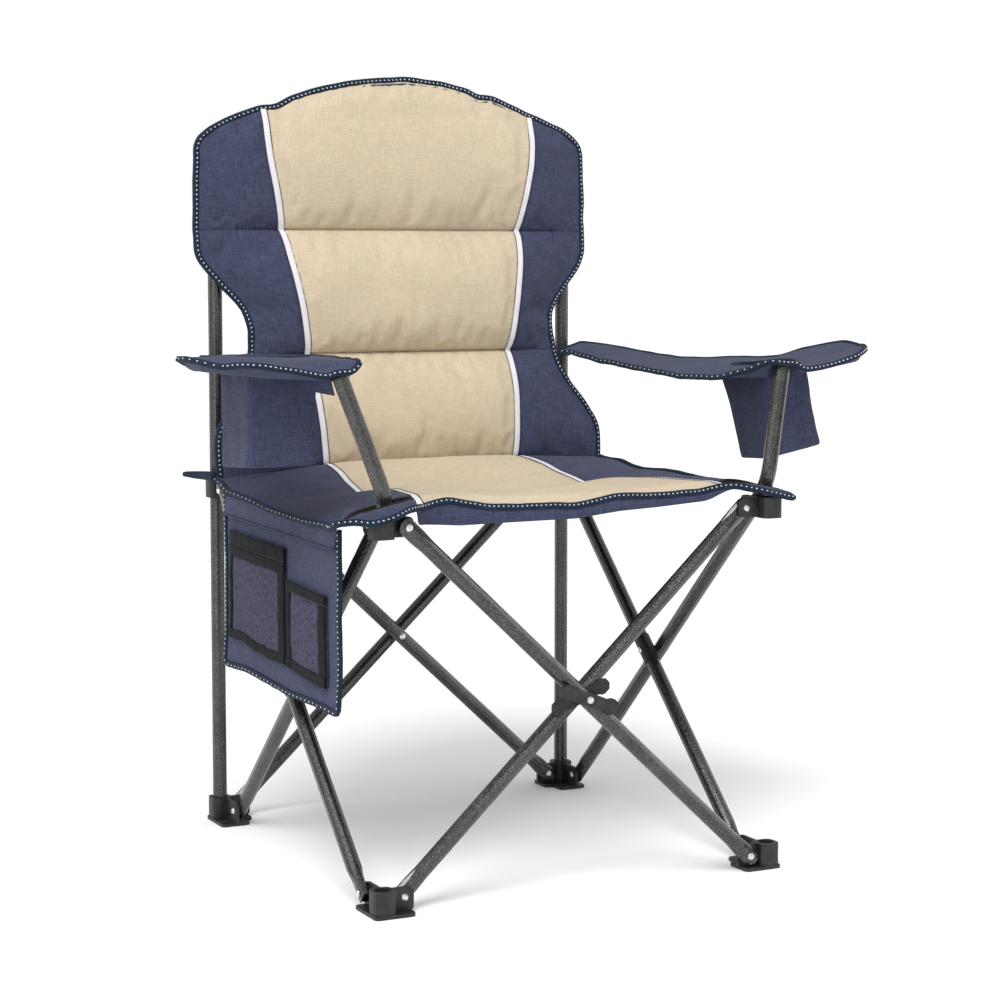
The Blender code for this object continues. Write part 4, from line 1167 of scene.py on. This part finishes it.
def make_pouch(side, name):
    """An open cloth bag hanging under the hole in the armrest."""
    rings = []
    for t in np.linspace(0, 1, 22):
        corners = []
        sides = zip(POUCH_TOP[side], POUCH_LOW[side], POUCH_HIGH[side], POUCH_FLOOR[side])
        for top, low, high, floor in sides:
            corners.append((*(np.array(top) * (1 - t) + np.array(low) * t), high + (floor - high) * t))
        ring = rounded_ring(corners, 0.007 if t < 0.98 else 0.009)
        centre = ring.mean(axis=0)
        swell = 1 - 0.035 * math.sin(math.pi * t) + (0.004 if t > 0.9 else 0)
        ring[:, :2] = centre[:2] + (ring[:, :2] - centre[:2]) * swell
        for k, (x, y, z) in enumerate(ring):
            shift = 0.0016 * ripple((x * 40, y * 40, z * 26 + side))
            ring[k, :2] += unit(ring[k, :2] - centre[:2]) * shift
        rings.append(ring)
    base = rings[-1]
    for shrink, lift in ((0.985, -0.0012), (0.93, -0.0022), (0.7, -0.003), (0.4, -0.0035), (0.12, -0.0036)):
        centre = base.mean(axis=0)
        inner = centre + (base - centre) * shrink
        inner[:, 2] += lift
        rings.append(inner)
    grid = np.array(rings)
    grid[..., 0] *= side
    grid = np.concatenate([grid, grid[:, :1]], axis=1)
    last = np.broadcast_to(grid[-1].mean(axis=0), (1, *grid.shape[1:]))
    grid = np.concatenate([grid, last])
    pouch = bag(f"{name}_pouch_cloth", grid, 1.5 * MM, flip=side > 0)
    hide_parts(f"{name}_pouch")
    return pouch


def bag(name, grid, thick, flip):
    """A bag whose first row is open and whose last row closes at one point. Its rows go round and meet."""
    rows, around = len(grid), grid.shape[1] - 1
    inner = grid - grid_normals(grid, flip) * thick
    inner[:, 0] = (inner[:, 0] + inner[:, -1]) / 2
    inner[-1] = grid[-1] + [0, 0, thick]
    layers = []
    for layer in (grid, inner, grid_cloth(grid)):
        layers.append(np.concatenate([layer[:-1, :-1].reshape(-1, layer.shape[2]), layer[-1, :1]]))
    cells = []
    for i in range(rows - 1):
        for j in range(around):
            a, b = i * around + j, i * around + (j + 1) % around
            end = ((rows - 1) * around,) if i == rows - 2 else (b + around, a + around)
            cells.append((a, b, *end))
    return closed_mesh(name, cells, *layers, NAVY, flip=flip)


def make_arm_ends(side, name):
    """The loop round the rear post, and the gusset from the cup pouch to the arm tube."""
    low = 0.6525 if side > 0 else 0.6475
    turns = np.linspace(0, 2 * math.pi, 37)
    layers = []
    for radius in (13.0 * MM, 11.4 * MM):
        x, y = [middle + np.copysign(np.abs(wave) ** 0.8, wave) * radius
                for middle, wave in ((side * POST_X, np.cos(turns)), (POST_Y, np.sin(turns)))]
        levels = np.linspace(low, low + 0.015, 6)
        layers.append(np.array([np.stack([x, y, np.full(37, z)], axis=1) for z in levels]))
    loop = closed_pair(f"{name}_armrest_post_loop", *layers, NAVY)
    top = 0.654 if side > 0 else 0.661

    def gusset_point(u, v):
        x = 0.3195 + 0.0065 * (1 - v) + u * 0.024
        y = -0.251 + u * 0.048 - 0.002 * math.sin(math.pi * u)
        return side * x, y, top - v * (top - (0.634 + 0.006 * u))

    grid = surface(7, 12, gusset_point)
    gusset = shell(f"{name}_armrest_gusset", grid, 1.5 * MM, NAVY, flip=side > 0)
    return [loop, gusset]


# ---- Organizer on the left side ----
PANEL_REAR, PANEL_FRONT = 0.170, -0.224
PANEL_TOP = [(-0.224, 0.4690), (-0.18, 0.4678), (0.17, 0.4770)]
PANEL_LOW = [(-0.224, 0.2440), (-0.15, 0.2455), (-0.057, 0.2440), (0.01, 0.2475), (0.09, 0.2520),
             (0.17, 0.2485)]
PANEL_PLANE = -0.3036
# each pocket's rear and front ends, its top and low edges, its tape widths and how far its net stands off
POCKETS = {
    "organizer_pocket_large": (0.150, -0.056, [(-0.06, 0.4285), (0.150, 0.4320)],
                               [(-0.06, 0.2780), (-0.01, 0.2760), (0.06, 0.2800), (0.10, 0.2860),
                                (0.150, 0.2850)], (0.010, 0.024, 0.018, 0.013), 0.0042),
    "organizer_pocket_small": (-0.062, -0.192, [(-0.192, 0.3835), (-0.062, 0.3890)],
                               [(-0.192, 0.2680), (-0.12, 0.2690), (-0.062, 0.2760)],
                               (0.016, 0.026, 0.012, 0.014), 0.0038),
}


def panel_x(y, z, out):
    """Where the organizer's cloth hangs, with its slow waves and its curled lower edge."""
    broad, fine = ripple((y * 7, z * 6, 2.2)), ripple((y * 22, z * 18, 6.1))
    curl = -0.002 * smoothstep((0.29 - z) / 0.05)
    return PANEL_PLANE + (0.0022 * broad + 0.0012 * fine) + curl - out


def panel_grid(rear, front, top, low, columns, rows, out):
    """A patch of cloth on the panel. top and low give its edges; out(u, v) is how far it stands off."""
    def point(u, v):
        y = rear + u * (front - rear)
        z = table(y, top) + v * (table(y, low) - table(y, top))
        return panel_x(y, z, out(u, v)), y, z

    return surface(rows, columns, point)


def net_pocket(name, rear, front, top, low, bands, stand):
    """A net pocket with a border of black tape. bands are the tape widths: rear, front, top, low."""
    def puffed(u, v):
        if v == 1:
            return 0.0026
        return 0.0026 + stand * math.sin(math.pi * u) ** 0.7 * math.sin(math.pi * (0.12 + 0.88 * v)) ** 0.6

    grid = panel_grid(rear, front, top, low, 41, 37, puffed)
    pocket = shell(name + "_net", grid, 1.2 * MM, NET, flip=True)
    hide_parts(name)
    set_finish(pocket, "pocket_mesh")
    wide, tall = abs(rear - front) * 1.03, (top[0][1] - low[0][1]) * 1.06
    area = cut_area(grid, wide, tall)
    pieces = [pocket]
    lines = []
    for tag, width, path, inward in (("rear_tape", bands[0], grid[:, 0], FORWARD),
                                     ("front_tape", bands[1], grid[:, -1], (0, 1.0, 0)),
                                     ("top_tape", bands[2], grid[0], (0, 0, -1.0)),
                                     ("low_tape", bands[3], grid[-1], UPWARD)):
        line = smoothed(path, 2) + np.multiply(inward, width / 2) + [-0.0014, 0, 0]
        line = resample(line, 5 * MM)
        for axis, size in ((0, 0.0012), (1, 0.0016), (2, 0.0016)):
            line[:, axis] += [size * noise.noise(Vector(p) * 70 + Vector((axis * 9, 0, 0))) for p in line]
        section = oval(width / 2, 1.5 * MM, 0.5)
        pieces.append(sweep(f"{name}_{tag}", line, LEFTWARD, section, BLACK_TAPE))
        lines.append(line)
    top, top_band = lines[2], bands[2]
    hem = top + [-0.0012, 0, -top_band * 0.5]
    hem_name, sizes = name + "_hem_stitches", (4.4, 2.6, 0.55)
    pieces.append(stitch_row(hem_name, hem, LEFTWARD, sizes, THREAD_GREY, "pocket_mesh"))
    if top_band > 0.015:
        section = oval(top_band * 0.42, 1.4 * MM, 0.5)
        elastic = top + [-0.0004, 0, -top_band * 0.98]
        pieces.append(sweep(name + "_elastic", elastic, LEFTWARD, section, BLACK_TAPE))
    for piece in pieces[1:]:
        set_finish(piece, "pocket_mesh")
    return pieces


def make_organizer():
    """The organizer's cloth, its flap, its binding and its two net pockets."""
    grid = panel_grid(PANEL_REAR, PANEL_FRONT, PANEL_TOP, PANEL_LOW, 73, 47, lambda u, v: 0.0)
    panel = shell("organizer_cloth", grid, 1.8 * MM, NAVY, flip=True)
    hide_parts("organizer_panel")
    pieces = [panel]
    flap_low = [(-0.224, 0.4430), (0.17, 0.4500)]
    flap = panel_grid(PANEL_REAR - 0.002, PANEL_FRONT + 0.002, PANEL_TOP, flap_low, 73, 9,
                      lambda u, v: 0.0021 + 0.0034 * v ** 1.5)
    flap_piece = shell("organizer_flap", flap, 1.6 * MM, NAVY, flip=True)
    hem, sizes = flap[-1] + [-0.0002, 0, 0.0026], (4.2, 3.2, 0.75)
    thread = stitch_row("organizer_flap_stitches", hem, LEFTWARD, sizes, THREAD_DARK, "navy_fabric")
    pieces += [flap_piece, thread]
    edge = np.concatenate([grid[:, 0], grid[-1, 1:-1], grid[::-1, -1]])
    pieces += bound_edge("organizer_binding", smoothed(edge, 2), LEFTWARD, 1, (9, 5.4, 6.6, 0.9),
                         (2.2, 1.0), 65)
    for name, shape in POCKETS.items():
        pieces += net_pocket(name, *shape)
    for piece in pieces:
        if not piece.get("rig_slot"):
            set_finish(piece, "navy_fabric")
        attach(piece, "slider_left")
        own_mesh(piece)


def make_corner_tabs():
    """The bound tips of the seat cloth that stand out past the rear posts."""
    for side, name, body, level in ((-1, "left", "slider_left", 0.4965),
                                    (1, "right", "slider_right", 0.4910)):
        start, middle = (side * 0.296, 0.2245, level + 0.001), (side * 0.3045, 0.262, level)
        path = smoothed(resample([start, middle, (side * 0.3205, 0.292, level)], 4 * MM), 3)
        wide = np.interp(np.linspace(0, 1, len(path)), [0, 0.7, 1], [0.011, 0.0085, 0.0055])
        strip = sweep(f"seat_{name}_rear_tab", path, UPWARD, oval(1.0, 0.62, 0.6), BINDING, scale=wide)
        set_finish(strip, "navy_fabric")
        line, sizes = path + [-side * 0.002, -0.0045, 0.0045], (6, 2.4, 0.9)
        thread_name = f"seat_{name}_rear_tab_stitches"
        thread = stitch_row(thread_name, line, UPWARD, sizes, THREAD_WHITE, "navy_fabric")
        for piece in (strip, thread):
            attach(piece, body)


# ---- The frame: painted tubes, mouldings and rivets are the CAD's own shapes ----
def finish_frame():
    """Paint, plastic or zinc on each of the frame's own solids."""
    shades = {"frame_steel": PAINT, "black_plastic": PLASTIC, "rivet_metal": RIVET}
    slots = {entry["node"]: entry["material_slot"] for entry in frame["record"]["subparts"]}
    for name, obj in frame["nodes"].items():
        material = shades.get(slots[name])
        if not material:
            continue
        for index in range(len(obj.material_slots)):
            obj.material_slots[index].link = "OBJECT"
            obj.material_slots[index].material = material


make_camera()
make_studio()
finish_frame()
make_back()
make_back_cover()
make_seat()
make_armrest(-1, "left")
make_armrest(1, "right")
make_organizer()
make_corner_tabs()
